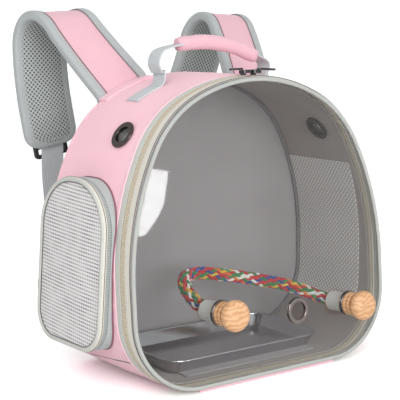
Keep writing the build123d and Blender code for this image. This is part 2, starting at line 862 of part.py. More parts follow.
def lower_webbing(shape, end):
    """Webbing from the pad's end down to just short of the anchor's tip."""
    start = end.from_local_coords(Vector(0, -strap_pad_thickness / 2, lower_webbing_seat))
    behind = anchor_tip_radius + lower_webbing_gap + webbing_thickness / 2
    foot = Vector(shape.side * anchor_across, anchor_depth + behind, anchor_height)
    hang = [
        Vector(start.X + share * (foot.X - start.X), start.Y - forward, start.Z - down)
        for share, forward, down in lower_webbing_hang
    ]
    route = (start, *hang, foot)
    with BuildPart() as webbing:
        for index, point in enumerate(route):
            along = end.z_dir if index == 0 else route[min(index + 1, len(route) - 1)] - route[index - 1]
            with BuildSketch(Plane(origin=point, x_dir=(1, 0, 0), z_dir=along)):
                Rectangle(lower_webbing_width, webbing_thickness)
        loft(ruled=True)
    return webbing


def strap_anchor(shape):
    """Webbing tab at the foot of the back panel, narrowing to the strap's lower pivot."""
    middle = shape.side * anchor_across
    with BuildPart() as anchor:
        with BuildSketch(Plane.XY.offset(anchor_height - anchor_thickness / 2)):
            with BuildLine():
                Polyline(
                    (middle - anchor_base_half, floor_y_back + stitch_gap),
                    (middle + anchor_base_half, floor_y_back + stitch_gap),
                    (middle + anchor_tip_radius, anchor_depth),
                    (middle - anchor_tip_radius, anchor_depth),
                    close=True,
                )
            make_face()
            with Locations((middle, anchor_depth)):
                Circle(anchor_tip_radius)
        extrude(amount=anchor_thickness)
    return anchor


def strap_patch(shape):
    """Where a strap is sewn over the rear edge of the cabin."""
    half = strap_width / 2 * cos(radians(arch_tilt))
    with BuildPart() as patch:
        add(sleeve(-webbing_thickness - stitch_gap, -stitch_gap, band_shell).part)
        with Locations((shape.side * shape.root, floor_y_back - strap_patch_reach / 2, strap_root_height)):
            Box(2 * half, strap_patch_reach, shoulder_radius, mode=Mode.INTERSECT)
    return patch


for place, shape in strap_shapes.items():
    end = strap_plane(shape, strap_path(shape), 1)
    pieces[f"strap_pad_{place}"] = strap_layer(shape, -strap_pad_thickness, 0)
    pieces[f"strap_mesh_{place}"] = strap_layer(shape, stitch_gap, strap_mesh_thickness)
    pieces[f"ladder_lock_{place}"] = ladder_lock(end)
    pieces[f"lower_webbing_{place}"] = lower_webbing(shape, end)
    foot = Vector(shape.side * anchor_across, anchor_depth, anchor_height)
    root = Vector(shape.side * shape.root, strap_root_depth, strap_root_height)
    print("strap pivot", place, foot, "axis", (root - foot).normalized())
pieces["strap_anchors"] = together([strap_anchor(shape) for shape in strap_shapes.values()])
pieces["strap_patches"] = together([strap_patch(shape) for shape in strap_shapes.values()])

# ---------------------------------------------------------------- tray
tray_floor = base_thickness + inner_inset + 2 * stitch_gap + floor_board_thickness
tray_middle = (tray_front + tray_back) / 2
tray_half_depth = (tray_back - tray_front) / 2 - tray_flare


def tray_outline(grow):
    """The tray's rounded outline as a flat face, drawn out by grow."""
    with BuildSketch() as face:
        with Locations((0, tray_middle)):
            RectangleRounded(2 * (tray_half_width + grow), 2 * (tray_half_depth + grow), tray_corner + grow)
    return face.sketch


with BuildPart() as tray:
    for height, grow in ((0, 0), (tray_height, tray_flare)):
        with BuildSketch(Plane.XY.offset(tray_floor + height)):
            add(tray_outline(grow))
    loft(ruled=True)
    for height, grow in ((tray_wall, -tray_wall), (tray_height + tray_wall, tray_flare - tray_wall)):
        with BuildSketch(Plane.XY.offset(tray_floor + height)):
            add(tray_outline(grow))
    loft(ruled=True, mode=Mode.SUBTRACT)
pieces["tray"] = tray

for name, part in pieces.items():
    part.part.label = name

os.makedirs("parts", exist_ok=True)
for name, part in pieces.items():
    export_step(part.part, f"parts/{name}.step")
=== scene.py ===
"""Looks of a bird travel carrier: a soft-sided backpack cabin with a clear zip-open front.

Metres, +Z up, on the same frame as the solids. Each sub-assembly is a class with its sizes as
fields; its methods build the meshes and dress them.
"""

import json
import logging
from dataclasses import dataclass
from enum import Enum
from functools import cached_property
from math import atan, ceil, copysign, cos, dist, exp, pi, radians, sin, sqrt, tan
from typing import Callable, Iterable, Sequence

import bmesh
import bpy
from bmesh.types import BMesh, BMVert
from bpy.types import Material, Node, NodeTree, Object
from mathutils import Matrix, Vector, noise
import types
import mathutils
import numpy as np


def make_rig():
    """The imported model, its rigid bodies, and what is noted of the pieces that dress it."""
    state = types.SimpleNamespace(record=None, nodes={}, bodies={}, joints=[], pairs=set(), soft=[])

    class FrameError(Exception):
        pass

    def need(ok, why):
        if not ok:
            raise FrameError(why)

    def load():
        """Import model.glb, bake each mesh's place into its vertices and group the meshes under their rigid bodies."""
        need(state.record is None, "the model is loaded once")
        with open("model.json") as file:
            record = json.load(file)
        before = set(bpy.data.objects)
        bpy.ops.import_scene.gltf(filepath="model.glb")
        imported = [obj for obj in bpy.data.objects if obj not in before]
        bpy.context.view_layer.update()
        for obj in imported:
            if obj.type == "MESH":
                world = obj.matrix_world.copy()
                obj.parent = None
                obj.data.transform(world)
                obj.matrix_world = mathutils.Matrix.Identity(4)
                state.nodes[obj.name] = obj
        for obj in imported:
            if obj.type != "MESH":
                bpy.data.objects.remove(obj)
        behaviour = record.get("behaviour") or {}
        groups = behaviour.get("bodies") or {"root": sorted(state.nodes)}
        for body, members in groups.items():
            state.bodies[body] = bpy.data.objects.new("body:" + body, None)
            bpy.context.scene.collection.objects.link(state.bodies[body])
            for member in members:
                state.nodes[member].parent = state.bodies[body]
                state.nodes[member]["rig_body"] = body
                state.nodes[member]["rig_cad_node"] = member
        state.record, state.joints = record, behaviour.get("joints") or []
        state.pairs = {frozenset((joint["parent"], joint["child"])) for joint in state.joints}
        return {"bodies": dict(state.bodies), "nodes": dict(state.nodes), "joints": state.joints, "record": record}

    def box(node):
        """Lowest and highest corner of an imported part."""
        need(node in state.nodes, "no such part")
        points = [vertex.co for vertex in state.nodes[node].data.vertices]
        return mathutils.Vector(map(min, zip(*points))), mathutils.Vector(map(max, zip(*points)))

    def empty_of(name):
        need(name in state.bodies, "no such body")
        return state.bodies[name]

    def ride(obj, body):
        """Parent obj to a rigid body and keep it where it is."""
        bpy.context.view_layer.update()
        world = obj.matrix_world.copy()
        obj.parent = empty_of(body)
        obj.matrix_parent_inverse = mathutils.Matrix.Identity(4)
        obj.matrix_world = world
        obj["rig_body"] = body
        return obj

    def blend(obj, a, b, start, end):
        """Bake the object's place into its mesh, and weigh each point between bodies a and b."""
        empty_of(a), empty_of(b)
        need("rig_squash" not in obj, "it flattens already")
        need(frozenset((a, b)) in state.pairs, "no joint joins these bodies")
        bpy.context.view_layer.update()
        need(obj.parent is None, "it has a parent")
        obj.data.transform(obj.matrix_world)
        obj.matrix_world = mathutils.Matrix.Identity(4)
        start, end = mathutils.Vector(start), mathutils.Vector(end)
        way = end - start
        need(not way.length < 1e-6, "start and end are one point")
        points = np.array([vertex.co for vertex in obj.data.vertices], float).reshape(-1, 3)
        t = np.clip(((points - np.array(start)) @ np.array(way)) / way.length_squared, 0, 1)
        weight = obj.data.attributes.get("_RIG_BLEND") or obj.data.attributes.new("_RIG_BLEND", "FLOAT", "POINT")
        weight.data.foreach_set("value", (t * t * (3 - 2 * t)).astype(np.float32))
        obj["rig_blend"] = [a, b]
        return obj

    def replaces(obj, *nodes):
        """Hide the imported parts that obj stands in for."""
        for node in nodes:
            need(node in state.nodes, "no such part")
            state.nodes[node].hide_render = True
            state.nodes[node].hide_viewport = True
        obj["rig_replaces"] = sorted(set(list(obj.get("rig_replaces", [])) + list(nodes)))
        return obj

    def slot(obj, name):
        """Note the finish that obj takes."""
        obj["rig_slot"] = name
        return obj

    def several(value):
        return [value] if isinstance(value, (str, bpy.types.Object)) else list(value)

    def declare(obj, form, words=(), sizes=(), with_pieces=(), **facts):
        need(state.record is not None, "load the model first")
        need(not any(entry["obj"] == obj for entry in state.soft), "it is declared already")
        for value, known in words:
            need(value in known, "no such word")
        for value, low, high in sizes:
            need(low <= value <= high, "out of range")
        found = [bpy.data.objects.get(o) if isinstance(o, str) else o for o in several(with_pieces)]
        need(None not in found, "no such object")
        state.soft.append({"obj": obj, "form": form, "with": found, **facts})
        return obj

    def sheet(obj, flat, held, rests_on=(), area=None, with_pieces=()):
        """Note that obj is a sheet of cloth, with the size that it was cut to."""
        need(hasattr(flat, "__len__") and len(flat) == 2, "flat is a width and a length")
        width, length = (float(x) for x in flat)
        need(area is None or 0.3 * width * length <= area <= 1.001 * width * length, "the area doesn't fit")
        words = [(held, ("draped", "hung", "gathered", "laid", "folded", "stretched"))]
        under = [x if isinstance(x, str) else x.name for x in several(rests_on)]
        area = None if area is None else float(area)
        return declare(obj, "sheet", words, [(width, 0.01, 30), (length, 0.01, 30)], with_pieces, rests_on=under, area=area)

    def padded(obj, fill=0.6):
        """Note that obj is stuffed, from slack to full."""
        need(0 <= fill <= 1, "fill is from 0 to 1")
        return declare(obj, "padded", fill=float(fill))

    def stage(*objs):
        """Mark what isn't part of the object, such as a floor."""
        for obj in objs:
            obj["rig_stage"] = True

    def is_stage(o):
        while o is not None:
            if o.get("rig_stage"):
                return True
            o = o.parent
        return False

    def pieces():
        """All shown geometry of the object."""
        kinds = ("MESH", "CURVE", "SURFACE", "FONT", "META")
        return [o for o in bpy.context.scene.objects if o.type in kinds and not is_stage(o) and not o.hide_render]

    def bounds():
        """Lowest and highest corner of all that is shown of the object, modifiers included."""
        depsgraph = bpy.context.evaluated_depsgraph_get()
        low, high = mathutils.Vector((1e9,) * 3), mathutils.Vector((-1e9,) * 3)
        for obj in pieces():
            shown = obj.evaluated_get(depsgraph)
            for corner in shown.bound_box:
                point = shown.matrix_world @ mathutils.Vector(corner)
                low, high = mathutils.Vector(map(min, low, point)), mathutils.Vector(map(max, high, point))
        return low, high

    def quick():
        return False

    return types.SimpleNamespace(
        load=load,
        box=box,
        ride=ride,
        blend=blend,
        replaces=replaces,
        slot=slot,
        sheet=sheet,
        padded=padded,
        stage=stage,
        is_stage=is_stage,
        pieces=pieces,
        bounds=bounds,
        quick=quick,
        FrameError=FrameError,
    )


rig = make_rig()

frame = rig.load()

LOG = logging.getLogger("carrier")
MM = 0.001
Pair = tuple[float, float]
Frame = tuple[Vector, Vector, Vector]  # a copy's middle, the way along it and the way out
RUN_STEPS = 12  # points read from each run of a smooth route
THREAD_SIZE = 0.55 * MM
NET_THREAD = 0.5 * MM
SHARP = radians(50)  # creases sharper than this stay hard
SHEET_PITCH = 5 * MM  # between the points of a cloth wall
BAND_PITCH = 4 * MM  # between the points of a tape or cord round the arch
AXIS_HEIGHT = 0.12  # the cabin's axis, which its walls face away from
MIDDLE_HEIGHT = 0.15  # where arch-shaped plates are drawn in to, and where the lights aim
FILL_FRAMES = 20  # steps of a padded cover's filling


class Side(Enum):
    """Which side of the carrier a piece is on, as the sign of its X."""

    LEFT = -1
    RIGHT = 1

    @property
    def tag(self) -> str:
        """The side as it stands in a piece's name."""
        return self.name.lower()


class Weave(Enum):
    """How a cloth's threads are laid."""

    PLAIN = "plain"
    RIBBED = "ribbed"
    AIR_MESH = "air mesh"
    LINE_NET = "line net"
    DOT_NET = "dot net"
    SCREEN = "screen"


# ---- colours and nodes
def linear(colour: str) -> tuple[float, float, float, float]:
    """Turn an sRGB hex colour into Blender's linear values.

    Args:
        colour: The colour as "#RRGGBB".

    Returns:
        Linear red, green, blue and an alpha of 1.
    """
    parts = [int(colour[i : i + 2], 16) / 255 for i in (1, 3, 5)]
    made = [p / 12.92 if p <= 0.04045 else ((p + 0.055) / 1.055) ** 2.4 for p in parts]
    return (made[0], made[1], made[2], 1.0)


def add(tree: NodeTree, kind: str, settings: dict = {}, links: dict = {}) -> Node:
    """Add a node with its settings and its incoming links.

    Args:
        tree: The material's node tree.
        kind: The node's type name without the ShaderNode prefix.
        settings: Attribute or input name to value; inputs may also be numbered.
        links: Input name or number to (node, output name or number), or to a node for its first output.

    Returns:
        The new node.
    """
    node = tree.nodes.new("ShaderNode" + kind)
    for key, value in settings.items():
        if isinstance(key, str) and hasattr(node, key):
            setattr(node, key, value)
        else:
            node.inputs[key].default_value = value
    for key, source in links.items():
        source, output = source if isinstance(source, tuple) else (source, 0)
        tree.links.new(source.outputs[output], node.inputs[key])
    return node


# ---- finishes
@dataclass(frozen=True)
class Finish:
    """A node material."""

    name: str

    def surface(self, tree: NodeTree) -> Node:
        """The shader that a finish lays in the tree."""
        raise NotImplementedError

    def make(self) -> Material:
        """Build the material.

        Returns:
            The finish as a Blender material.
        """
        material = bpy.data.materials.new(self.name)
        material.use_nodes = True
        tree = material.node_tree
        tree.nodes.clear()
        out = tree.nodes.new("ShaderNodeOutputMaterial")
        tree.links.new(self.surface(tree).outputs[0], out.inputs[0])
        return material


@dataclass(frozen=True)
class Cloth(Finish):
    """A woven or knitted cloth: thread relief, uneven dye and a soft sheen."""

    colour: str
    shade: str
    weave: Weave = Weave.PLAIN
    pitch: float = 1.2 * MM  # thread spacing, drawn as coarse as it needs to show
    relief: float = 0.25
    roughness: float = 0.85
    sheen: float = 0.25
    open_share: float = 0.0  # how far the holes of a net let light through
    hole: str = "#808080"

    def surface(self, tree: NodeTree) -> Node:
        """Lay the nodes.

        Args:
            tree: The material's node tree.

        Returns:
            The surface's shader.
        """
        place = add(tree, "TexCoord")
        uv = (place, "UV")
        cloudy = add(tree, "TexNoise", {"Scale": 1 / 0.05, "Detail": 3.0}, {0: (place, "Object")})
        dyed = add(
            tree,
            "Mix",
            {"data_type": "RGBA", 6: linear(self.colour), 7: linear(self.shade)},
            {0: add(tree, "Math", {"operation": "MULTIPLY", 1: 0.55}, {0: cloudy})},
        )
        height, holes = self.threads(tree, uv)
        if holes is not None:
            dyed = add(tree, "Mix", {"data_type": "RGBA", 7: linear(self.hole)}, {0: holes, 6: (dyed, 2)})
        bump = add(tree, "Bump", {"Strength": self.relief, "Distance": 0.4 * MM}, {"Height": height})
        shader = add(
            tree,
            "BsdfPrincipled",
            {
                "Roughness": self.roughness,
                "Sheen Weight": self.sheen,
                "Sheen Roughness": 0.5,
                "Specular IOR Level": 0.3,
            },
            {"Base Color": (dyed, 2), "Normal": bump},
        )
        if holes is not None and self.open_share > 0:
            solid = add(tree, "Math", {"operation": "MULTIPLY", 1: -self.open_share}, {0: holes})
            alpha = add(tree, "Math", {"operation": "ADD", 1: 1.0}, {0: solid})
            tree.links.new(alpha.outputs[0], shader.inputs["Alpha"])
        return shader

    def threads(self, tree: NodeTree, uv: tuple) -> tuple:
        """Lay the threads.

        Args:
            tree: The material's node tree.
            uv: The (node, output) of the piece's own map, in metres.

        Returns:
            The node of the threads' height, and the holes' node or None.
        """
        axes = add(tree, "SeparateXYZ", {}, {0: uv})
        turn = 2 * pi / self.pitch

        def wave(axis: int, rate: float = 1) -> Node:
            turned = add(tree, "Math", {"operation": "MULTIPLY", 1: turn * rate}, {0: (axes, axis)})
            return add(tree, "Math", {"operation": "SINE"}, {0: turned})

        if self.weave is Weave.PLAIN:
            return add(tree, "Math", {"operation": "MULTIPLY"}, {0: wave(0), 1: wave(1)}), None
        if self.weave is Weave.RIBBED:
            rib = wave(0)
            pick = add(tree, "Math", {"operation": "MULTIPLY", 1: 0.35}, {0: wave(1, 2)})
            return add(tree, "Math", {"operation": "ADD"}, {0: rib, 1: pick}), None
        if self.weave is Weave.LINE_NET:
            rows, dashes = wave(1), wave(0)
            row = add(tree, "Math", {"operation": "SMOOTH_MAX", 1: 0.0}, {0: rows})
            dash = add(tree, "MapRange", {"From Min": -0.9, "From Max": -0.3}, {0: dashes})
            patches = add(tree, "TexNoise", {"Scale": 55.0, "Detail": 1.0}, {0: uv})
            strong = add(tree, "MapRange", {"From Min": 0.35, "From Max": 0.65, "To Min": 0.5}, {0: patches})
            dashed = add(tree, "Math", {"operation": "MULTIPLY"}, {0: row, 1: dash})
            holes = add(tree, "Math", {"operation": "MULTIPLY"}, {0: dashed, 1: strong})
            return add(tree, "Math", {"operation": "MULTIPLY", 1: -1.0}, {0: holes}), holes
        cells = add(tree, "Math", {"operation": "MULTIPLY"}, {0: wave(0), 1: wave(1)})
        if self.weave is Weave.SCREEN:
            cells = add(tree, "Math", {"operation": "ABSOLUTE"}, {0: cells})
        limits = {Weave.AIR_MESH: (0.05, 0.45), Weave.SCREEN: (0.12, 0.25)}
        closed, clear = limits.get(self.weave, (0.30, 0.60))
        open_cell = add(tree, "MapRange", {"From Min": closed, "From Max": clear}, {0: cells})
        return add(tree, "Math", {"operation": "MULTIPLY", 1: -1.0}, {0: open_cell}), open_cell


@dataclass(frozen=True)
class Metal(Finish):
    """A bare or plated metal with fine scratches and finger-dull patches."""

    colour: str
    roughness: float = 0.22
    grain: float = 0.4 * MM  # scratch spacing, drawn coarse enough to show
    relief: float = 0.04
    stretch: tuple[float, float, float] = (1.0, 1.0, 1.0)

    def surface(self, tree: NodeTree) -> Node:
        """Lay the nodes.

        Args:
            tree: The material's node tree.

        Returns:
            The surface's shader.
        """
        place = add(tree, "TexCoord")
        drawn = add(tree, "Mapping", {"Scale": self.stretch}, {0: (place, "Object")})
        scratch = add(tree, "TexNoise", {"Scale": 1 / self.grain / 4, "Detail": 4.0}, {0: drawn})
        dull = add(tree, "TexNoise", {"Scale": 1 / 0.02, "Detail": 2.0}, {0: (place, "Object")})
        rough = add(
            tree,
            "MapRange",
            {"To Min": self.roughness * 0.75, "To Max": self.roughness * 1.4},
            {0: dull},
        )
        bump = add(tree, "Bump", {"Strength": self.relief, "Distance": 0.1 * MM}, {"Height": scratch})
        return add(
            tree,
            "BsdfPrincipled",
            {"Base Color": linear(self.colour), "Metallic": 1.0},
            {"Roughness": rough, "Normal": bump},
        )


@dataclass(frozen=True)
class Plastic(Finish):
    """A moulded plastic with a fine spark texture and slight colour drift."""

    colour: str
    roughness: float = 0.4
    coat: float = 0.0
    relief: float = 0.05
    soft: float = 0.0  # how far light spreads inside it

    def surface(self, tree: NodeTree) -> Node:
        """Lay the nodes.

        Args:
            tree: The material's node tree.

        Returns:
            The surface's shader.
        """
        place = add(tree, "TexCoord")
        spark = add(tree, "TexNoise", {"Scale": 1 / (0.5 * MM), "Detail": 2.0}, {0: (place, "Object")})
        drift = add(tree, "TexNoise", {"Scale": 1 / 0.03, "Detail": 2.0}, {0: (place, "Object")})
        rough = add(
            tree,
            "MapRange",
            {"To Min": self.roughness * 0.85, "To Max": self.roughness * 1.2},
            {0: drift},
        )
        bump = add(tree, "Bump", {"Strength": self.relief, "Distance": 0.1 * MM}, {"Height": spark})
        return add(
            tree,
            "BsdfPrincipled",
            {
                "Base Color": linear(self.colour),
                "IOR": 1.5,
                "Coat Weight": self.coat,
                "Coat Roughness": 0.1,
                "Subsurface Weight": self.soft,
                "Subsurface Radius": (2 * MM, 2 * MM, 2 * MM),
            },
            {"Roughness": rough, "Normal": bump},
        )


@dataclass(frozen=True)
class TurnedWood(Finish):
    """Turned hardwood: growth rings across the face, fine pores and a satin oil coat."""

    name: str = "turned_beech_oiled"
    light: str = "#D6AB82"
    dark: str = "#BC8A5E"
    ring: float = 4.5 * MM  # growth ring width

    def surface(self, tree: NodeTree) -> Node:
        """Lay the nodes.

        Args:
            tree: The material's node tree.

        Returns:
            The surface's shader.
        """
        place = add(tree, "TexCoord")
        bent = add(tree, "TexNoise", {"Scale": 1 / 0.02, "Detail": 2.0}, {0: (place, "Object")})
        moved = add(
            tree,
            "VectorMath",
            {"operation": "MULTIPLY_ADD", 1: (0.004, 0.004, 0.012)},
            {0: (bent, 1), 2: (place, "Object")},
        )
        rings = add(
            tree,
            "TexWave",
            {"wave_type": "BANDS", "bands_direction": "Z", "Scale": 0.314 / self.ring, "Distortion": 6.0,
             "Detail": 3.0, "Detail Scale": 2.0},
            {0: moved},
        )
        stretched = add(tree, "Mapping", {"Scale": (1.0, 0.15, 3.0)}, {0: (place, "Object")})
        pores = add(tree, "TexNoise", {"Scale": 1 / (0.8 * MM), "Detail": 3.0}, {0: stretched})
        banded = add(tree, "Math", {"operation": "MULTIPLY", 1: 0.7}, {0: (rings, 1)})
        flecked = add(tree, "Math", {"operation": "MULTIPLY", 1: 0.35}, {0: pores})
        mixed = add(tree, "Math", {"operation": "ADD"}, {0: banded, 1: flecked})
        tint = add(tree, "ValToRGB", {}, {0: mixed})
        for stop, share, colour in zip(tint.color_ramp.elements, (0.15, 0.95), (self.light, self.dark)):
            stop.position, stop.color = share, linear(colour)
        bump = add(tree, "Bump", {"Strength": 0.12, "Distance": 0.1 * MM}, {"Height": pores})
        return add(
            tree,
            "BsdfPrincipled",
            {"Roughness": 0.5, "Coat Weight": 0.1, "Coat Roughness": 0.3, "IOR": 1.5},
            {"Base Color": tint, "Normal": bump},
        )


@dataclass(frozen=True)
class ClearFilm(Finish):
    """Clear flexible vinyl film: see-through, with a mirror gloss and faint ripples."""

    name: str = "clear_vinyl_film"
    tint: str = "#FCFDFD"
    gloss: float = 0.03
    ripple: float = 0.045  # metres between the film's ripples

    def surface(self, tree: NodeTree) -> Node:
        """Lay the nodes.

        Args:
            tree: The material's node tree.

        Returns:
            The surface's shader.
        """
        place = add(tree, "TexCoord")
        waves = add(tree, "TexNoise", {"Scale": 1 / self.ripple, "Detail": 1.0}, {0: (place, "Object")})
        bump = add(tree, "Bump", {"Strength": 0.05, "Distance": 1 * MM}, {"Height": waves})
        clear = add(tree, "BsdfTransparent", {0: linear(self.tint)})
        mirror = add(
            tree,
            "BsdfGlossy",
            {"Color": (1.0, 1.0, 1.0, 1.0), "Roughness": self.gloss},
            {"Normal": bump},
        )
        edge = add(tree, "Fresnel", {"IOR": 1.27}, {"Normal": bump})
        return add(tree, "MixShader", {}, {0: edge, 1: clear, 2: mirror})


@dataclass(frozen=True)
class PlaitedYarn(Finish):
    """Dyed cotton yarns of a plaited rope, one colour to a strand."""

    name: str = "plaited_cotton_yarn"
    twist: float = 0.9 * MM  # between the turns of a yarn
    palette: tuple[str, ...] = (
        "#B81F28", "#2C7A45", "#C4242B", "#E4E1DA", "#2F7F48", "#D9762A", "#B81F28", "#27468C",
        "#C22730", "#2C7A45", "#D9B236", "#B81F28", "#347F45", "#E4E1DA", "#C4242B", "#27468C",
    )

    def surface(self, tree: NodeTree) -> Node:
        """Lay the nodes.

        Args:
            tree: The material's node tree.

        Returns:
            The surface's shader.
        """
        place = add(tree, "TexCoord")
        axes = add(tree, "SeparateXYZ", {}, {0: (place, "UV")})
        count = len(self.palette)
        strand = add(tree, "Math", {"operation": "ADD", 1: 0.5}, {0: (axes, 1)})
        share = add(tree, "Math", {"operation": "DIVIDE", 1: float(count)}, {0: strand})
        dyed = add(tree, "ValToRGB", {}, {0: share})
        dyed.color_ramp.interpolation = "CONSTANT"
        points = dyed.color_ramp.elements
        while len(points) < count:
            points.new(1.0)
        for index, (point, colour) in enumerate(zip(points, self.palette)):
            point.position, point.color = index / count, linear(colour)
        turned = add(tree, "Math", {"operation": "MULTIPLY", 1: 2 * pi / self.twist}, {0: axes})
        twist = add(tree, "Math", {"operation": "SINE"}, {0: turned})
        bump = add(tree, "Bump", {"Strength": 0.35, "Distance": 0.3 * MM}, {"Height": twist})
        return add(
            tree,
            "BsdfPrincipled",
            {"Roughness": 0.8, "Sheen Weight": 0.3, "Specular IOR Level": 0.25},
            {"Base Color": dyed, "Normal": bump},
        )


@dataclass(frozen=True)
class FloorPaper(Finish):
    """A studio floor that sends back soft light and looks bright enough to run into the backdrop."""

    name: str = "studio_floor"
    bounce: float = 0.8  # share of the light that it sends back
    shown: float = 1.45  # how bright it looks

    def surface(self, tree: NodeTree) -> Node:
        """Lay the nodes.

        Args:
            tree: The material's node tree.

        Returns:
            The surface's shader.
        """
        lit, shown = (
            add(tree, "BsdfDiffuse", {"Color": (grey, grey, grey, 1.0)}) for grey in (self.bounce, self.shown)
        )
        path = add(tree, "LightPath")
        return add(tree, "MixShader", {}, {0: (path, "Is Camera Ray"), 1: lit, 2: shown})


PINK = Cloth("pink_polyester_woven", "#F3C5D0", "#EBB7C5", pitch=1.3 * MM, relief=0.18).make()
PINK_SOFT = Cloth("pink_polyester_padded", "#DDB2BC", "#D2A5B0", pitch=1.3 * MM, relief=0.22).make()
GREY = Cloth("grey_lining_woven", "#9B9596", "#8D8788", pitch=1.1 * MM, relief=0.05, sheen=0.15).make()
SIDE_GREY = Cloth(
    "grey_side_lining_woven", "#A89E99", "#99908B", pitch=1.1 * MM, relief=0.05, sheen=0.15
).make()
STRAP = Cloth("grey_webbing_ribbed", "#C6CBCD", "#B4BABC", Weave.RIBBED, 2.0 * MM, 0.5, 0.8).make()
BOUND = Cloth("grey_binding_grosgrain", "#AFB4B4", "#979C9D", Weave.RIBBED, 1.6 * MM, 0.35, 0.8).make()
PALE = Cloth("rim_tape_pale_woven", "#C3C4BE", "#ADAFA9", Weave.RIBBED, 1.8 * MM, 0.3, 0.8).make()
CREAM = Cloth("door_tape_cream_woven", "#D5D1C7", "#C3BEB2", Weave.RIBBED, 1.8 * MM, 0.3, 0.8).make()
WHITE_EDGE = Cloth("piping_pale_grosgrain", "#ACAEAA", "#979995", Weave.RIBBED, 1.6 * MM, 0.25, 0.7).make()
AIR = Cloth(
    "air_mesh_knitted", "#B3B8B6", "#A3A8A7", Weave.AIR_MESH, 4.6 * MM, 0.6, 0.9, hole="#4A4F4D"
).make()
FACE_NET = Cloth(
    "pocket_net_knitted", "#DBD9D9", "#D3D0D0", Weave.LINE_NET, 3.2 * MM, 0.5, 0.6, 0.1, 0.2, "#3F3A3B"
).make()
NET = Cloth(
    "side_net_knitted", "#CBC5C1", "#BCB6B2", Weave.DOT_NET, 5.0 * MM, 0.3, 0.6, 0.1, 0.0, "#FFFFFF"
).make()
SCREEN = Cloth(
    "eyelet_net_knitted", "#8C8F8E", "#7C7F7E", Weave.SCREEN, 1.9 * MM, 0.4, 0.6, 0.1, 1.0, "#8C8F8E"
).make()
SEWING = Cloth("sewing_thread", "#C9CBCA", "#B9BBBA", Weave.RIBBED, 0.6 * MM, 0.2, 0.7).make()
INNER_BOUND = Cloth("inner_binding_grosgrain", "#7B7678", "#6C6769", Weave.RIBBED, 1.6 * MM, 0.2, 0.8).make()
ROOT = Cloth("pocket_fold_shade", "#8A5A68", "#7A4D5A", pitch=1.0 * MM, relief=0.1).make()
SHADE = Cloth("seam_fold_dark", "#6E6A6B", "#5F5B5C", pitch=1.0 * MM, relief=0.1).make()
TOOTH = Plastic("zip_coil_nylon", "#CDC3AF", 0.35).make()
TOOTH_GREY = Plastic("pocket_zip_coil_nylon", "#8F9493", 0.4).make()
BRASS = Metal("gunmetal_plated_brass", "#57504D", 0.14).make()
DARK_NICKEL = Metal("black_nickel_plated_brass", "#8E8682", 0.12).make()
ZINC = Metal("zinc_plated_steel", "#B9BCC0", 0.28).make()
SHEET_STEEL = Metal("rolled_stainless_sheet", "#CBCACD", 0.16, stretch=(0.1, 1.0, 1.0), relief=0.01).make()
ENAMEL = Plastic("black_enamelled_zinc", "#1B1B1D", 0.28, coat=0.6).make()
ACETAL = Plastic("black_moulded_acetal", "#232426", 0.42).make()
CAP = Plastic("white_moulded_nylon", "#F6F8F4", 0.38, soft=0.15).make()
KNOB = TurnedWood().make()
CLEAR = ClearFilm().make()
PLAIT = PlaitedYarn().make()


# ---- mesh helpers
def smooth_ease(value: float, low: float, high: float) -> float:
    """Ease from 0 at low to 1 at high."""
    share = min(1.0, max(0.0, (value - low) / (high - low)))
    return share * share * (3 - 2 * share)


def steps(low: float, high: float, pitch: float) -> list[float]:
    """Evenly spaced values from low to high, about a pitch apart."""
    count = max(2, round(abs(high - low) / pitch))
    return [low + (high - low) * index / count for index in range(count + 1)]


def bisected(low: float, high: float, rounds: int, below: Callable[[float], bool]) -> Pair:
    """Narrow a range down to the place where a test stops holding.

    Args:
        low: An end where the test holds.
        high: An end where it doesn't.
        rounds: How often the range is halved.
        below: The test.

    Returns:
        The narrowed (low, high).
    """
    for _ in range(rounds):
        middle = (low + high) / 2
        low, high = (middle, high) if below(middle) else (low, middle)
    return low, high


def square_to(way: Vector, line: Vector) -> Vector:
    """The unit part of a direction that stands square to a unit line."""
    return (way - line * way.dot(line)).normalized()


def tangent_at(points: Sequence[Vector], index: int) -> Vector:
    """The direction of a line of points at one of them."""
    return (points[min(index + 1, len(points) - 1)] - points[max(index - 1, 0)]).normalized()


def distances(points: Sequence) -> list[float]:
    """Measure along a line.

    Args:
        points: The line's points, as vectors or as number pairs.

    Returns:
        The distance of each point from the first.
    """
    made = [0.0]
    for a, b in zip(points, points[1:]):
        made.append(made[-1] + ((b - a).length if isinstance(a, Vector) else dist(a, b)))
    return made


def drape(
    columns: Sequence[float],
    rows: Sequence[float],
    place: Callable[[float, float], Vector],
    mapped: Callable[[float, float], Pair] | None = None,
    closed: bool = False,
) -> BMesh:
    """Lay a grid over a surface.

    Args:
        columns: The first coordinate of each column of points.
        rows: The second coordinate of each row of points.
        place: Where a point of those coordinates lies.
        mapped: Its place on the piece's own map in metres; the coordinates themselves if left out.
        closed: True if the last column meets the first.

    Returns:
        The grid's mesh, with a map.
    """
    bm = bmesh.new()
    across, along = len(columns) - 1, len(rows) - 1
    bmesh.ops.create_grid(bm, x_segments=across, y_segments=along, size=1.0)
    layer = bm.loops.layers.uv.new("UVMap")
    cell = {v: (round((v.co.x + 1) / 2 * across), round((v.co.y + 1) / 2 * along)) for v in bm.verts}
    for face in bm.faces:
        for loop in face.loops:
            i, j = cell[loop.vert]
            loop[layer].uv = mapped(columns[i], rows[j]) if mapped else (columns[i], rows[j])
    for vert, (i, j) in cell.items():
        vert.co = place(columns[i], rows[j])
    if closed:
        ends = [v for v, (i, _) in cell.items() if i in (0, across)]
        bmesh.ops.remove_doubles(bm, verts=ends, dist=1e-6)
    bmesh.ops.remove_doubles(bm, verts=bm.verts, dist=1e-7)
    return outward(bm)


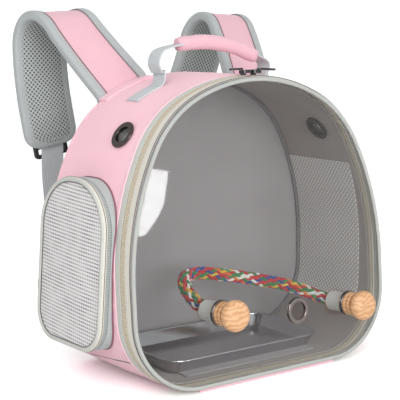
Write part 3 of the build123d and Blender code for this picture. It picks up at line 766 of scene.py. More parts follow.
def turn_out(bm: BMesh, out: Callable[[Vector], Vector]) -> BMesh:
    """Turn an open sheet's faces to point the way that out gives.

    Args:
        bm: The sheet.
        out: The outward direction at a point.

    Returns:
        The same mesh.
    """
    votes = sum(face.normal.dot(out(face.calc_center_median())) * face.calc_area() for face in bm.faces)
    if votes < 0:
        bmesh.ops.reverse_faces(bm, faces=bm.faces)
    return bm


def outward(bm: BMesh) -> BMesh:
    """Turn a closed mesh's faces outward."""
    bmesh.ops.recalc_face_normals(bm, faces=bm.faces)
    return bm


def capped(bm: BMesh) -> BMesh:
    """Close a tube's two ends."""
    bmesh.ops.holes_fill(bm, edges=[e for e in bm.edges if e.is_boundary])
    return outward(bm)


def wall(bm: BMesh, thickness: float) -> BMesh:
    """Close a sheet with a thickness in metres, inwards from its faces."""
    bmesh.ops.solidify(bm, geom=bm.faces, thickness=thickness)
    return outward(bm)


def as_mesh(name: str, bm: BMesh) -> bpy.types.Mesh:
    """Turn a working mesh into mesh data, and free it.

    Args:
        name: The data's name.
        bm: The working mesh.

    Returns:
        The mesh data.
    """
    mesh = bpy.data.meshes.new(name)
    bm.to_mesh(mesh)
    bm.free()
    return mesh


def placed(name: str, data: bpy.types.ID) -> Object:
    """Put data in the scene as an object.

    Args:
        name: The object's name.
        data: Its mesh, light or camera.

    Returns:
        The object.
    """
    thing = bpy.data.objects.new(name, data)
    bpy.context.scene.collection.objects.link(thing)
    return thing


def shaded(mesh: bpy.types.Mesh) -> None:
    """Shade a mesh smooth but for its creases."""
    mesh.shade_smooth()
    mesh.set_sharp_from_angle(angle=SHARP)


def finished(
    name: str,
    bm: BMesh,
    finish: Material,
    body: str | None,
    slot: str,
    nodes: Iterable[str] = (),
    levels: int = 0,
) -> Object:
    """Make a piece of a mesh, dress it and put it on its body.

    Args:
        name: The piece's name.
        bm: Its mesh, which is freed.
        finish: Its material.
        body: The body that it rides on, or None for a piece that bends between two bodies.
        slot: The record's material slot.
        nodes: The solids that it stands for.
        levels: Rounds of surface subdivision.

    Returns:
        The piece.
    """
    mesh = as_mesh(name, bm)
    mesh.materials.append(finish)
    piece = placed(name, mesh)
    shaded(mesh)
    if levels:
        finer = piece.modifiers.new("Subdivision", "SUBSURF")
        finer.levels = finer.render_levels = levels
    if body:
        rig.ride(piece, body)
    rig.slot(piece, slot)
    if nodes:
        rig.replaces(piece, *nodes)
    LOG.info("%s: %d faces on %s", name, len(mesh.polygons), body)
    return piece


def new_group() -> BMesh:
    """Start a mesh to pour parts into.

    Returns:
        An empty mesh with a map.
    """
    bm = bmesh.new()
    bm.loops.layers.uv.new("UVMap")
    return bm


def pour(group: BMesh, part: BMesh) -> None:
    """Add a part to a group of loose parts in one mesh, and free it.

    Args:
        group: The mesh that collects the parts.
        part: The part.
    """
    mesh = as_mesh("part", part)
    group.from_mesh(mesh)
    bpy.data.meshes.remove(mesh)


def cut(piece: Object, tool: BMesh) -> None:
    """Cut a closed tool out of a closed piece for good.

    Args:
        piece: The piece to cut.
        tool: The closed cutting shape, which is freed.
    """
    cutter = placed("tool", as_mesh("tool", tool))
    difference = piece.modifiers.new("Cut", "BOOLEAN")
    difference.object = cutter
    difference.solver = "EXACT"
    settled = piece.evaluated_get(bpy.context.evaluated_depsgraph_get())
    made = bpy.data.meshes.new_from_object(settled)
    piece.modifiers.clear()
    piece.data = made
    bpy.data.objects.remove(cutter)


def dress(node: str, finish: Material, edge: float = 0.0, angle: float = 40.0) -> None:
    """Give a solid that stays its finish and softened edges.

    Args:
        node: The solid's name.
        finish: Its material.
        edge: Edge radius in metres; 0 for none.
        angle: Edges sharper than this many degrees are rounded.
    """
    piece = bpy.data.objects[node]
    piece.data.materials.clear()
    piece.data.materials.append(finish)
    piece.data.shade_smooth()
    weld = piece.modifiers.new("Weld", "WELD")
    weld.merge_threshold = 1e-5
    if edge:
        bevel = piece.modifiers.new("Edge", "BEVEL")
        bevel.width = edge
        bevel.segments = 2
        bevel.limit_method = "ANGLE"
        bevel.angle_limit = radians(angle)
        bevel.harden_normals = True
        normals = piece.modifiers.new("Normals", "WEIGHTED_NORMAL")
        normals.keep_sharp = True
    LOG.info("%s: solid kept, dressed in %s", node, finish.name)


def scattered(shape: BMesh, frames: Iterable[Frame]) -> BMesh:
    """Copy a small shape to many places.

    Args:
        shape: The shape about the origin, x along and z out; it is freed.
        frames: For each copy its middle, the way along and the way out.

    Returns:
        All the copies in one mesh, with a map.
    """
    shape.verts.index_update()
    points = [vert.co.copy() for vert in shape.verts]
    loops = [[vert.index for vert in face.verts] for face in shape.faces]
    shape.free()
    bm = bmesh.new()
    layer = bm.loops.layers.uv.new("UVMap")
    for middle, along, out in frames:
        z = out.normalized()
        x = square_to(along, z)
        turn = Matrix((x, z.cross(x), z)).transposed()
        made = [bm.verts.new(middle + turn @ point) for point in points]
        for corners in loops:
            face = bm.faces.new([made[index] for index in corners])
            for loop, index in zip(face.loops, corners):
                loop[layer].uv = points[index].xy
    return bm


def stitches(frames: Iterable[Frame], long: float = 2.4 * MM) -> BMesh:
    """Lay a row of sewing stitches.

    Args:
        frames: For each stitch its middle, its direction and the way out of the cloth.
        long: Length of a stitch.

    Returns:
        The stitches' mesh.
    """
    bm = bmesh.new()
    size = Matrix.Diagonal((long, THREAD_SIZE, THREAD_SIZE * 0.8, 1.0))
    bmesh.ops.create_icosphere(bm, subdivisions=1, radius=0.5, matrix=size)
    return scattered(bm, frames)


def tube(points: Sequence[Vector], radius: Callable[[float], float], sides: int = 12) -> BMesh:
    """Sweep a round section along points.

    Args:
        points: The centreline.
        radius: The radius at a share of the length.
        sides: Faces round the section.

    Returns:
        The closed tube, with a map in metres.
    """
    frames = carried(points)
    lengths = distances(points)
    whole = lengths[-1]
    ring = [2 * pi * index / sides for index in range(sides + 1)]
    last = len(points) - 1

    def place(turn: float, row: float) -> Vector:
        index = round(row)
        size = radius(lengths[index] / whole)
        x, y = frames[index]
        return points[index] + (x * cos(turn) + y * sin(turn)) * size

    def mapped(turn: float, row: float) -> Pair:
        return lengths[round(row)], turn * radius(0.5)

    bm = drape(ring, range(last + 1), place, mapped, closed=True)
    return capped(bm)


def carried(points: Sequence[Vector]) -> list[tuple[Vector, Vector]]:
    """Carry a frame along a line without twist.

    Args:
        points: The line.

    Returns:
        Two directions across the line at each point.
    """
    tangents = [tangent_at(points, index) for index in range(len(points))]
    x = tangents[0].orthogonal().normalized()
    frames = []
    for tangent in tangents:
        x = square_to(x, tangent)
        frames.append((x.copy(), tangent.cross(x)))
    return frames


def curve_points(route: Sequence[Vector]) -> list[Vector]:
    """Read points from the smooth spline that a route controls.

    Args:
        route: The spline's control points.

    Returns:
        Points along the spline.
    """
    data = bpy.data.curves.new("route", "CURVE")
    data.dimensions = "3D"
    spline = data.splines.new("NURBS")
    spline.points.add(len(route) - 1)
    for point, place in zip(spline.points, route):
        point.co = (*place, 1.0)
    spline.order_u = 3
    spline.use_endpoint_u = True
    spline.resolution_u = RUN_STEPS
    holder = bpy.data.objects.new("route", data)
    mesh = bpy.data.meshes.new_from_object(holder)
    points = [v.co.copy() for v in mesh.vertices]
    bpy.data.objects.remove(holder)
    bpy.data.curves.remove(data)
    bpy.data.meshes.remove(mesh)
    return points


def even(points: Sequence[Vector], pitch: float) -> list[Vector]:
    """Respace a line's points evenly.

    Args:
        points: The line.
        pitch: The distance between new points.

    Returns:
        The new points, with both ends kept.
    """
    lengths = distances(points)
    made, at = [], 0
    for want in steps(0.0, lengths[-1], pitch):
        while at < len(points) - 2 and lengths[at + 1] < want:
            at += 1
        run = max(lengths[at + 1] - lengths[at], 1e-9)
        made.append(points[at].lerp(points[at + 1], (want - lengths[at]) / run))
    return made


# ---- the cabin's arch
@dataclass(frozen=True)
class Arch:
    """The cabin's arched section, which widens to the back behind a door that leans back."""

    half_flat: float = 79 * MM
    corner: float = 66 * MM
    side_rise: float = 28 * MM
    side_radius: float = 250 * MM
    side_turn: float = radians(27.7)
    shoulder: float = 104 * MM
    crown_half: float = radians(26)
    depth: float = 144 * MM
    flare: float = 10 * MM
    lean: float = radians(4.57)
    base: float = 3 * MM

    @property
    def front(self) -> float:
        """Depth of the front rim at the floor."""
        return -self.depth / 2

    @cached_property
    def shoulder_x(self) -> float:
        """Across of the right shoulder arc's centre at the front."""
        side_x = self.half_flat + self.corner - self.side_radius
        return side_x + (self.side_radius - self.shoulder) * cos(self.side_turn)

    @cached_property
    def shoulder_z(self) -> float:
        """Height of the shoulder arc's centre."""
        rise = (self.side_radius - self.shoulder) * sin(self.side_turn)
        return self.base + self.corner + self.side_rise + rise

    @cached_property
    def runs(self) -> list[float]:
        """Measure the half arch at the front.

        Returns:
            Lengths of its six runs, floor to crown.
        """
        return [
            self.half_flat,
            self.corner * pi / 2,
            self.side_rise,
            self.side_radius * self.side_turn,
            self.shoulder * (pi / 2 - self.crown_half - self.side_turn),
            (self.shoulder + self.shoulder_x / sin(self.crown_half)) * self.crown_half,
        ]

    @cached_property
    def half(self) -> float:
        """Length from the floor's middle round to the crown's middle."""
        return sum(self.runs)

    def spread(self, y: float) -> float:
        """Extra half width at a depth."""
        return self.flare / self.depth * (y - self.front)

    def section(self, s: float, y: float, inset: float = 0.0) -> tuple[float, float, float, float]:
        """A point of the arch at one depth.

        Args:
            s: Length round the arch from the floor's middle, up the right side and down the left.
            y: Depth.
            inset: Distance inside the outer surface.

        Returns:
            Across, height, and the outward direction's across and height.
        """
        whole = 2 * self.half
        s = s % whole
        side = 1.0
        if s > self.half:
            s, side = whole - s, -1.0
        flat = self.half_flat + self.spread(y)
        runs = self.runs
        index = 0
        while index < 5 and s > runs[index]:
            s -= runs[index]
            index += 1
        share = min(s / runs[index], 1.0)
        if index == 0:
            return side * share * flat, self.base + inset, 0.0, -1.0
        if index == 2:
            x = flat + self.corner - inset
            return side * x, self.base + self.corner + share * self.side_rise, side, 0.0
        side_x = flat + self.corner - self.side_radius
        side_z = self.base + self.corner + self.side_rise
        shoulder_x = side_x + (self.side_radius - self.shoulder) * cos(self.side_turn)
        if index == 1:
            x, z, radius, turn = flat, self.base + self.corner, self.corner, (share - 1) * pi / 2
        elif index == 3:
            x, z, radius, turn = side_x, side_z, self.side_radius, share * self.side_turn
        elif index == 4:
            arc = pi / 2 - self.crown_half - self.side_turn
            x, z, radius, turn = shoulder_x, self.shoulder_z, self.shoulder, self.side_turn + share * arc
        else:
            x, z = 0.0, self.shoulder_z - shoulder_x / tan(self.crown_half)
            radius = self.shoulder + shoulder_x / sin(self.crown_half)
            turn = pi / 2 - self.crown_half * (1 - share)
        across = x + (radius - inset) * cos(turn)
        return side * across, z + (radius - inset) * sin(turn), side * cos(turn), sin(turn)

    def rim_depth(self, s: float, behind: float, inset: float = 0.0) -> float:
        """Depth of the arch at a distance behind the leaning front rim.

        Args:
            s: Length round the arch.
            behind: Distance behind the rim.
            inset: Distance inside the outer surface.

        Returns:
            The depth.
        """
        y = self.front + behind
        for _ in range(3):
            z = self.section(s, y, inset)[1]
            y = self.front + (z - self.base) * tan(self.lean) + behind
        return y

    def at_depth(self, s: float, y: float, inset: float = 0.0) -> Vector:
        """A point on the arch at a depth."""
        x, z, _, _ = self.section(s, y, inset)
        return Vector((x, y, z))

    def on_rim(self, s: float, behind: float, inset: float = 0.0) -> Vector:
        """A point on the arch at a distance behind the rim."""
        return self.at_depth(s, self.rim_depth(s, behind, inset), inset)

    def out(self, s: float, y: float = 0.0) -> Vector:
        """The outward direction."""
        _, _, x, z = self.section(s, y)
        return Vector((x, 0.0, z))

    def round(self, pitch: float) -> list[float]:
        """Places round the whole arch.

        Args:
            pitch: About how far apart they are.

        Returns:
            The places, each run's ends among them.
        """
        made = [0.0]
        for run in self.runs + self.runs[::-1]:
            made += [made[-1] + step for step in steps(0.0, run, pitch)[1:]]
        return made


ARCH = Arch()


def middle_out(point: Vector) -> Vector:
    """Away from the cabin's middle axis."""
    return Vector((point.x, 0.0, point.z - AXIS_HEIGHT))


def soft_noise(point: Vector, size: float, depth: float) -> float:
    """An even, repeatable unevenness at a point, from a bump's width and height."""
    return noise.noise(point / size) * depth


@dataclass
class Station:
    """A place on a strip: its middle, the way across it and the way out of its face."""

    origin: Vector
    across: Vector
    out: Vector


def oval(half: float, low: float, high: float, power: float = 3.0, count: int = 24) -> list[Pair]:
    """A rounded, crowned section.

    Args:
        half: Half its width.
        low: Its lower height.
        high: Its upper height.
        power: 2 for an ellipse, more for squarer shoulders.
        count: Points round it.

    Returns:
        (across, height) points, the first repeated at the end.
    """
    made = []
    for index in range(count + 1):
        turn = 2 * pi * (index % count) / count
        c, s = cos(turn), sin(turn)
        x = copysign(abs(c) ** (2 / power), c) * half
        y = copysign(abs(s) ** (2 / power), s) * (high - low) / 2 + (high + low) / 2
        made.append((x, y))
    return made


def strip(stations: Sequence[Station], section: Callable[[float], Sequence[Pair]]) -> BMesh:
    """Sweep a closed section along stations.

    Args:
        stations: Where the section stands, in order.
        section: The section at a share of the strip.

    Returns:
        The closed strip, mapped by distance round the section and along the strip.
    """
    last = len(stations) - 1
    sections = [section(index / last) for index in range(last + 1)]
    lengths = distances([station.origin for station in stations])
    girth = distances(sections[last // 2])

    def place(column: float, row: float) -> Vector:
        station = stations[round(row)]
        x, y = sections[round(row)][round(column)]
        return station.origin + station.across * x + station.out * y

    def mapped(column: float, row: float) -> Pair:
        return girth[round(column)], lengths[round(row)]

    bm = drape(range(len(girth)), range(last + 1), place, mapped, closed=True)
    return capped(bm)


def through(points: Sequence[Vector], pitch: float) -> list[Vector]:
    """A smooth line through points, evenly spaced.

    Args:
        points: The points that it passes.
        pitch: The distance between the line's points.

    Returns:
        The line's points.
    """
    line = []
    last = len(points) - 1
    for index in range(last):
        a, b = points[index], points[index + 1]
        before = points[max(index - 1, 0)]
        after = points[min(index + 2, last)]
        first, second = a + (b - before) / 6, b - (after - a) / 6
        for step in range(RUN_STEPS):
            t = step / RUN_STEPS
            u = 1 - t
            line.append(a * u**3 + first * 3 * u * u * t + second * 3 * u * t * t + b * t**3)
    return even([*line, points[last]], pitch)


def along_line(points: Sequence[Vector], across: Callable[[int], Vector]) -> list[Station]:
    """Stations on a line.

    Args:
        points: The line's points.
        across: The way across the strip at a point's index.

    Returns:
        The stations.
    """
    made = []
    for index, point in enumerate(points):
        tangent = tangent_at(points, index)
        x = square_to(across(index), tangent)
        made.append(Station(point, x, x.cross(tangent)))
    return made


def billow(piece: Object, held: Callable[[Vector], float], pressure: float, cap: float) -> None:
    """Fill a padded cover with a short cloth simulation.

    Args:
        piece: The closed cover; its mesh takes the filled shape.
        held: How firmly a point is sewn down, 0 to 1.
        pressure: Filling pressure.
        cap: The furthest that a point may move, in metres.
    """
    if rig.quick():
        return
    mesh = piece.data
    later = list(piece.modifiers)
    for modifier in later:
        modifier.show_viewport = False
    group = piece.vertex_groups.new(name="held")
    for vert in mesh.vertices:
        group.add([vert.index], held(vert.co), "REPLACE")
    cloth = piece.modifiers.new("Cloth", "CLOTH")
    cloth.settings.quality = 5
    cloth.settings.mass = 0.3
    cloth.settings.tension_stiffness = 15
    cloth.settings.compression_stiffness = 15
    cloth.settings.bending_stiffness = 0.5
    cloth.settings.use_pressure = True
    cloth.settings.uniform_pressure_force = pressure
    cloth.settings.vertex_group_mass = group.name
    cloth.settings.effector_weights.gravity = 0.0
    cloth.point_cache.frame_start = 1
    cloth.point_cache.frame_end = FILL_FRAMES
    scene = bpy.context.scene
    for step in range(1, FILL_FRAMES + 1):
        scene.frame_set(step)
    settled = piece.evaluated_get(bpy.context.evaluated_depsgraph_get()).to_mesh()
    moves = [new.co - old.co for new, old in zip(settled.vertices, mesh.vertices)]
    piece.modifiers.remove(cloth)
    for modifier in later:
        modifier.show_viewport = True
    for vert, move in zip(mesh.vertices, moves):
        if move.length > cap:
            move = move * (cap / move.length)
        vert.co += move
    scene.frame_set(1)
    mesh.update()
    LOG.info("%s: filled, largest move %.1f mm", piece.name, 1000 * max(m.length for m in moves))


def post(foot: Vector, direction: Vector, radius: float, reach: float) -> BMesh:
    """A round cutting post.

    Args:
        foot: Its middle.
        direction: Its axis.
        radius: Its radius.
        reach: How far it goes each way.

    Returns:
        The closed post.
    """
    bm = bmesh.new()
    turn = direction.to_track_quat("Z", "Y").to_matrix().to_4x4()
    bmesh.ops.create_cone(
        bm, cap_ends=True, segments=48, radius1=radius, radius2=radius, depth=2 * reach,
        matrix=Matrix.Translation(foot) @ turn,
    )
    return bm


def prism(corners: Sequence[Vector], rise: Vector) -> BMesh:
    """A closed block on an outline.

    Args:
        corners: Its outline.
        rise: Its thickness and direction.

    Returns:
        The block.
    """
    bm = bmesh.new()
    face = bm.faces.new([bm.verts.new(corner) for corner in corners])
    made = bmesh.ops.extrude_face_region(bm, geom=[face])
    bmesh.ops.translate(bm, vec=rise, verts=[v for v in made["geom"] if isinstance(v, BMVert)])
    return outward(bm)


def slab(corners: Sequence[Vector], rise: Vector, edge: float) -> BMesh:
    """A flat plate with rounded edges.

    Args:
        corners: Its outline.
        rise: Its thickness and direction.
        edge: Edge radius.

    Returns:
        The closed plate, mapped flat.
    """
    bm = prism(corners, rise)
    bmesh.ops.bevel(bm, geom=bm.edges, offset=edge, segments=3, profile=0.5, affect="EDGES", material=-1)
    flat_map(bm, rise)
    return bm


def flat_map(bm: BMesh, normal: Vector) -> None:
    """Map a mesh flat along a direction, in metres.

    Args:
        bm: The mesh.
        normal: The way to look at it.
    """
    layer = bm.loops.layers.uv.verify()
    n = normal.normalized()
    x = n.orthogonal().normalized()
    y = n.cross(x)
    for face in bm.faces:
        for loop in face.loops:
            loop[layer].uv = (loop.vert.co.dot(x), loop.vert.co.dot(y))


def teeth(places: Iterable[Frame], size: tuple[float, float, float]) -> BMesh:
    """Lay a row of zip teeth.

    Args:
        places: For each tooth its middle, the way along the zip and the way out of it.
        size: Its length along the zip, its width across it and its height.

    Returns:
        The teeth's mesh.
    """
    bm = bmesh.new()
    bmesh.ops.create_uvsphere(
        bm, u_segments=8, v_segments=5, radius=0.5, matrix=Matrix.Diagonal((*size, 1.0))
    )
    return scattered(bm, places)


# ---- cabin
@dataclass
class CabinShell:
    """The fabric cabin: pink gusset, grey lining, side nets, base and floor board."""

    rim: float = 22.3 * MM  # behind the door's front edge
    back: float = 66 * MM
    lining_rim: float = 14.9 * MM
    lining_inset: float = 2.2 * MM
    wall: float = 2.0 * MM
    lining_wall: float = 1.2 * MM
    opening: tuple[float, float, float, float] = (-26 * MM, 50 * MM, 53 * MM, 176 * MM)
    opening_radius: float = 22 * MM
    net_lap: float = 11 * MM
    net_inset: float = 3.5 * MM
    net_slack: float = 1.2 * MM
    base_thickness: float = 3 * MM
    pucker: float = 0.35 * MM
    eyelet_depth: float = -7 * MM
    eyelet_angle: float = radians(34)
    eyelet_hole: float = 9.1 * MM
    seam_ends: tuple[Pair, Pair] = ((30 * MM, 20 * MM), (-46 * MM, 30.5 * MM))
    stitch_pitch: float = 3.4 * MM
    stitch_margin: float = 2.6 * MM
    fold_radius: float = 0.55 * MM
    rim_fold_radius: float = 0.7 * MM
    wall_reach: float = 20 * MM  # how far the eyelets' cutting posts go each way

    def build(self) -> None:
        """Make every cabin piece."""
        self.gusset()
        self.lining()
        for side in Side:
            self.net(side)
        self.base()
        self.seams()

    def sleeve(self, start: float, inset: float, relief: Callable[[float, float], float]) -> BMesh:
        """A wall of the cabin from behind the rim to the back.

        Args:
            start: Distance behind the rim.
            inset: Inside the outer surface.
            relief: Extra height at a place round the arch and a share of the depth.

        Returns:
            The wall's outer sheet.
        """

        def place(s: float, share: float) -> Vector:
            y = ARCH.rim_depth(s, start, inset) * (1 - share) + self.back * share
            return ARCH.at_depth(s, y, inset - relief(s, share))

        def mapped(s: float, share: float) -> Pair:
            return s, ARCH.rim_depth(s, start, inset) * (1 - share) + self.back * share

        return turn_out(
            drape(ARCH.round(SHEET_PITCH), steps(0, 1, 1 / 26), place, mapped, closed=True), middle_out
        )

    def opening_tool(self) -> BMesh:
        """A rounded block through both side walls.

        Returns:
            The closed block.
        """
        front, back, bottom, top = self.opening
        corners = []
        radius = self.opening_radius
        for y, z, turn in ((back, top, 0), (front, top, 90), (front, bottom, 180), (back, bottom, 270)):
            middle_y = y - copysign(radius, cos(radians(turn + 45)))
            middle_z = z - copysign(radius, sin(radians(turn + 45)))
            for step in range(9):
                angle = radians(turn + 90 * step / 8)
                corners.append(Vector((-0.3, middle_y + radius * cos(angle), middle_z + radius * sin(angle))))
        return prism(corners, Vector((0.6, 0, 0)))

    def pierce(self, piece: Object) -> None:
        """Cut the side openings and the eyelet holes through a wall.

        Args:
            piece: The wall.
        """
        cut(piece, self.opening_tool())
        for side in Side:
            foot, out = self.eyelet_place(side)
            cut(piece, post(foot, out, self.eyelet_hole, self.wall_reach))
        shaded(piece.data)

    def eyelet_place(self, side: Side) -> tuple[Vector, Vector]:
        """Where an eyelet stands on the shoulder, and its way out.

        Args:
            side: Which eyelet.

        Returns:
            Its middle on the fabric and its outward direction.
        """
        across = ARCH.shoulder_x + ARCH.spread(self.eyelet_depth) + ARCH.shoulder * cos(self.eyelet_angle)
        height = ARCH.shoulder_z + ARCH.shoulder * sin(self.eyelet_angle)
        slope = ARCH.flare / ARCH.depth
        c = cos(self.eyelet_angle)
        out = Vector((side.value * c, -slope * c, sin(self.eyelet_angle))).normalized()
        return Vector((side.value * across, self.eyelet_depth, height)), out

    def gusset(self) -> None:
        """The pink outer wall, drawn tight between its seams."""

        def relief(s: float, share: float) -> float:
            edge = exp(-share * 14) + exp(-(1 - share) * 14)
            full = 0.5 * MM * sin(pi * share)
            folds = sin(s / (13 * MM) * 2 * pi) + 0.6 * sin(s / (31 * MM) * 2 * pi + 1.3)
            return full + self.pucker * edge * folds + soft_noise(
                Vector((s, share * 0.15, 0)), 0.035, 0.35 * MM
            )

        bm = wall(self.sleeve(self.rim, 0.0, relief), self.wall)
        piece = finished("gusset_cloth", bm, PINK, "carrier", "pink_fabric", ["gusset_shell"])
        self.pierce(piece)

    def lining(self) -> None:
        """The grey inner wall."""

        def relief(s: float, share: float) -> float:
            return soft_noise(Vector((s, share * 0.15, 4)), 0.03, 0.25 * MM) * sin(pi * share)

        bm = wall(self.sleeve(self.lining_rim, self.lining_inset, relief), self.lining_wall)
        piece = finished("gusset_lining_cloth", bm, SIDE_GREY, "carrier", "lining_fabric", ["gusset_lining"])
        self.pierce(piece)

    def net(self, side: Side) -> None:
        """The net behind a side opening.

        Args:
            side: Which side.
        """
        front, back, bottom, top = self.opening
        low, high = bottom - self.net_lap, top + self.net_lap
        heights = steps(low, high, SHEET_PITCH)
        depths = steps(front - self.net_lap, back + self.net_lap, SHEET_PITCH)

        def place(y: float, z: float) -> Vector:
            point = ARCH.at_depth(self.s_at_height(z, self.net_inset), y, self.net_inset)
            share_y = (y - depths[0]) / (depths[-1] - depths[0])
            share_z = (z - low) / (high - low)
            slack = self.net_slack * sin(pi * share_y) * sin(pi * share_z)
            return Vector(((point.x - slack) * side.value, point.y, point.z))

        bm = turn_out(drape(depths, heights, place), middle_out)
        area = sum(face.calc_area() for face in bm.faces)
        wall(bm, NET_THREAD)
        piece = finished(f"side_net_{side.tag}", bm, NET, "carrier", "net_mesh", [f"side_mesh_{side.tag}"])
        width = depths[-1] - depths[0]
        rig.sheet(piece, (width, area / width), "stretched", rests_on=["gusset_lining_cloth"])

    def s_at_height(self, z: float, inset: float) -> float:
        """Place round the right half of the arch at a height, inside the outer surface by an inset."""
        return bisected(ARCH.half_flat, ARCH.half, 30, lambda s: ARCH.section(s, 0.0, inset)[1] < z)[0]

    def base(self) -> None:
        """The cloth-covered base and the loose floor board."""
        half, wide = ARCH.half_flat, ARCH.half_flat + ARCH.flare
        corners = [
            Vector((-half, ARCH.front, 0)), Vector((half, ARCH.front, 0)),
            Vector((wide, -ARCH.front, 0)), Vector((-wide, -ARCH.front, 0)),
        ]
        bm = slab(corners, Vector((0, 0, self.base_thickness)), 1.0 * MM)
        finished("base_cloth", bm, PINK, "carrier", "pink_fabric", ["base_panel"])
        low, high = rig.box("floor_board")
        foot = ((low.x, low.y), (high.x, low.y), (high.x, high.y), (low.x, high.y))
        corners = [Vector((x, y, low.z)) for x, y in foot]
        bm = slab(corners, Vector((0, 0, high.z - low.z)), 0.8 * MM)
        finished("floor_board_cloth", bm, GREY, "carrier", "lining_fabric", ["floor_board"])

    def seams(self) -> None:
        """Stitching and sewn folds on the gusset."""
        rows = []
        behind, lift = self.rim + self.stitch_margin, -0.25 * MM
        for s in steps(ARCH.half_flat, 2 * ARCH.half - ARCH.half_flat, self.stitch_pitch):
            y = ARCH.rim_depth(s, behind)
            middle = ARCH.at_depth(s, y, lift)
            ahead = ARCH.at_depth(s + 1 * MM, ARCH.rim_depth(s + 1 * MM, behind), lift)
            rows.append((middle, ahead - middle, ARCH.out(s, y)))
        finished("gusset_stitches", stitches(rows), SEWING, "carrier", "pink_fabric")
        (far, low), (near, high) = self.seam_ends
        line = []
        for share in steps(0, 1, 0.04):
            y, z = far + (near - far) * share, low + (high - low) * share
            s = 2 * ARCH.half - self.s_at_height(z, 0.0)
            line.append(ARCH.at_depth(s, y, -0.2 * MM))
        bm = tube(line, lambda share: self.fold_radius)
        finished("base_fold_seam", bm, SHADE, "carrier", "pink_fabric")
        ring = [ARCH.on_rim(s, self.rim - 0.1 * MM, 0.4 * MM) for s in ARCH.round(BAND_PITCH)]
        bm = loop_tube(ring, self.rim_fold_radius)
        finished("rim_fold_seam", bm, PINK, "carrier", "pink_fabric")


SHELL = CabinShell()


def loop_tube(ring: Sequence[Vector], radius: float, sides: int = 10) -> BMesh:
    """A round cord along a closed ring of points.

    Args:
        ring: The points, the first repeated at the end.
        radius: The cord's radius.
        sides: Faces round it.

    Returns:
        The closed ring.
    """
    count = len(ring) - 1
    turns = [2 * pi * index / sides for index in range(sides + 1)]
    lengths = distances(ring)

    def place(column: float, turn: float) -> Vector:
        index = round(column) % count
        tangent = (ring[(index + 1) % count] - ring[index - 1 if index else count - 1]).normalized()
        x = square_to(Vector((0, 1, 0)), tangent)
        y = tangent.cross(x)
        angle = turn % (2 * pi)
        return ring[index] + (x * cos(angle) + y * sin(angle)) * radius

    def mapped(column: float, turn: float) -> Pair:
        return lengths[round(column)], turn * radius

    return drape(range(count + 1), turns, place, mapped, closed=True)


def band(section: Sequence[Pair]) -> BMesh:
    """A closed band round the arch, behind the leaning rim.

    Args:
        section: Its closed section as (behind, inset) points, the first repeated at the end.

    Returns:
        The closed band.
    """
    girth = distances(section)

    def place(s: float, row: float) -> Vector:
        behind, inset = section[round(row)]
        return ARCH.on_rim(s, behind, inset)

    def mapped(s: float, row: float) -> Pair:
        return girth[round(row)], s

    return outward(drape(ARCH.round(BAND_PITCH), range(len(section)), place, mapped, closed=True))


def plate(rows: Sequence[tuple[float, float, float]], reference: float) -> BMesh:
    """A closed arch-shaped plate of rings drawn in to a middle.

    Args:
        rows: For each ring its inset, its share of the way to the middle, and its depth.
        reference: The depth whose arch is its outline.

    Returns:
        The plate.
    """
    middle = Vector((0, 0, MIDDLE_HEIGHT))

    def place(s: float, row: float) -> Vector:
        inset, share, depth = rows[round(row)]
        x, z, _, _ = ARCH.section(s, reference, inset)
        point = Vector((x, 0, z)).lerp(middle, share)
        return Vector((point.x, depth, point.z))

    def mapped(s: float, row: float) -> Pair:
        point = place(s, row)
        return point.x, point.z

    return drape(ARCH.round(SHEET_PITCH), range(len(rows)), place, mapped, closed=True)


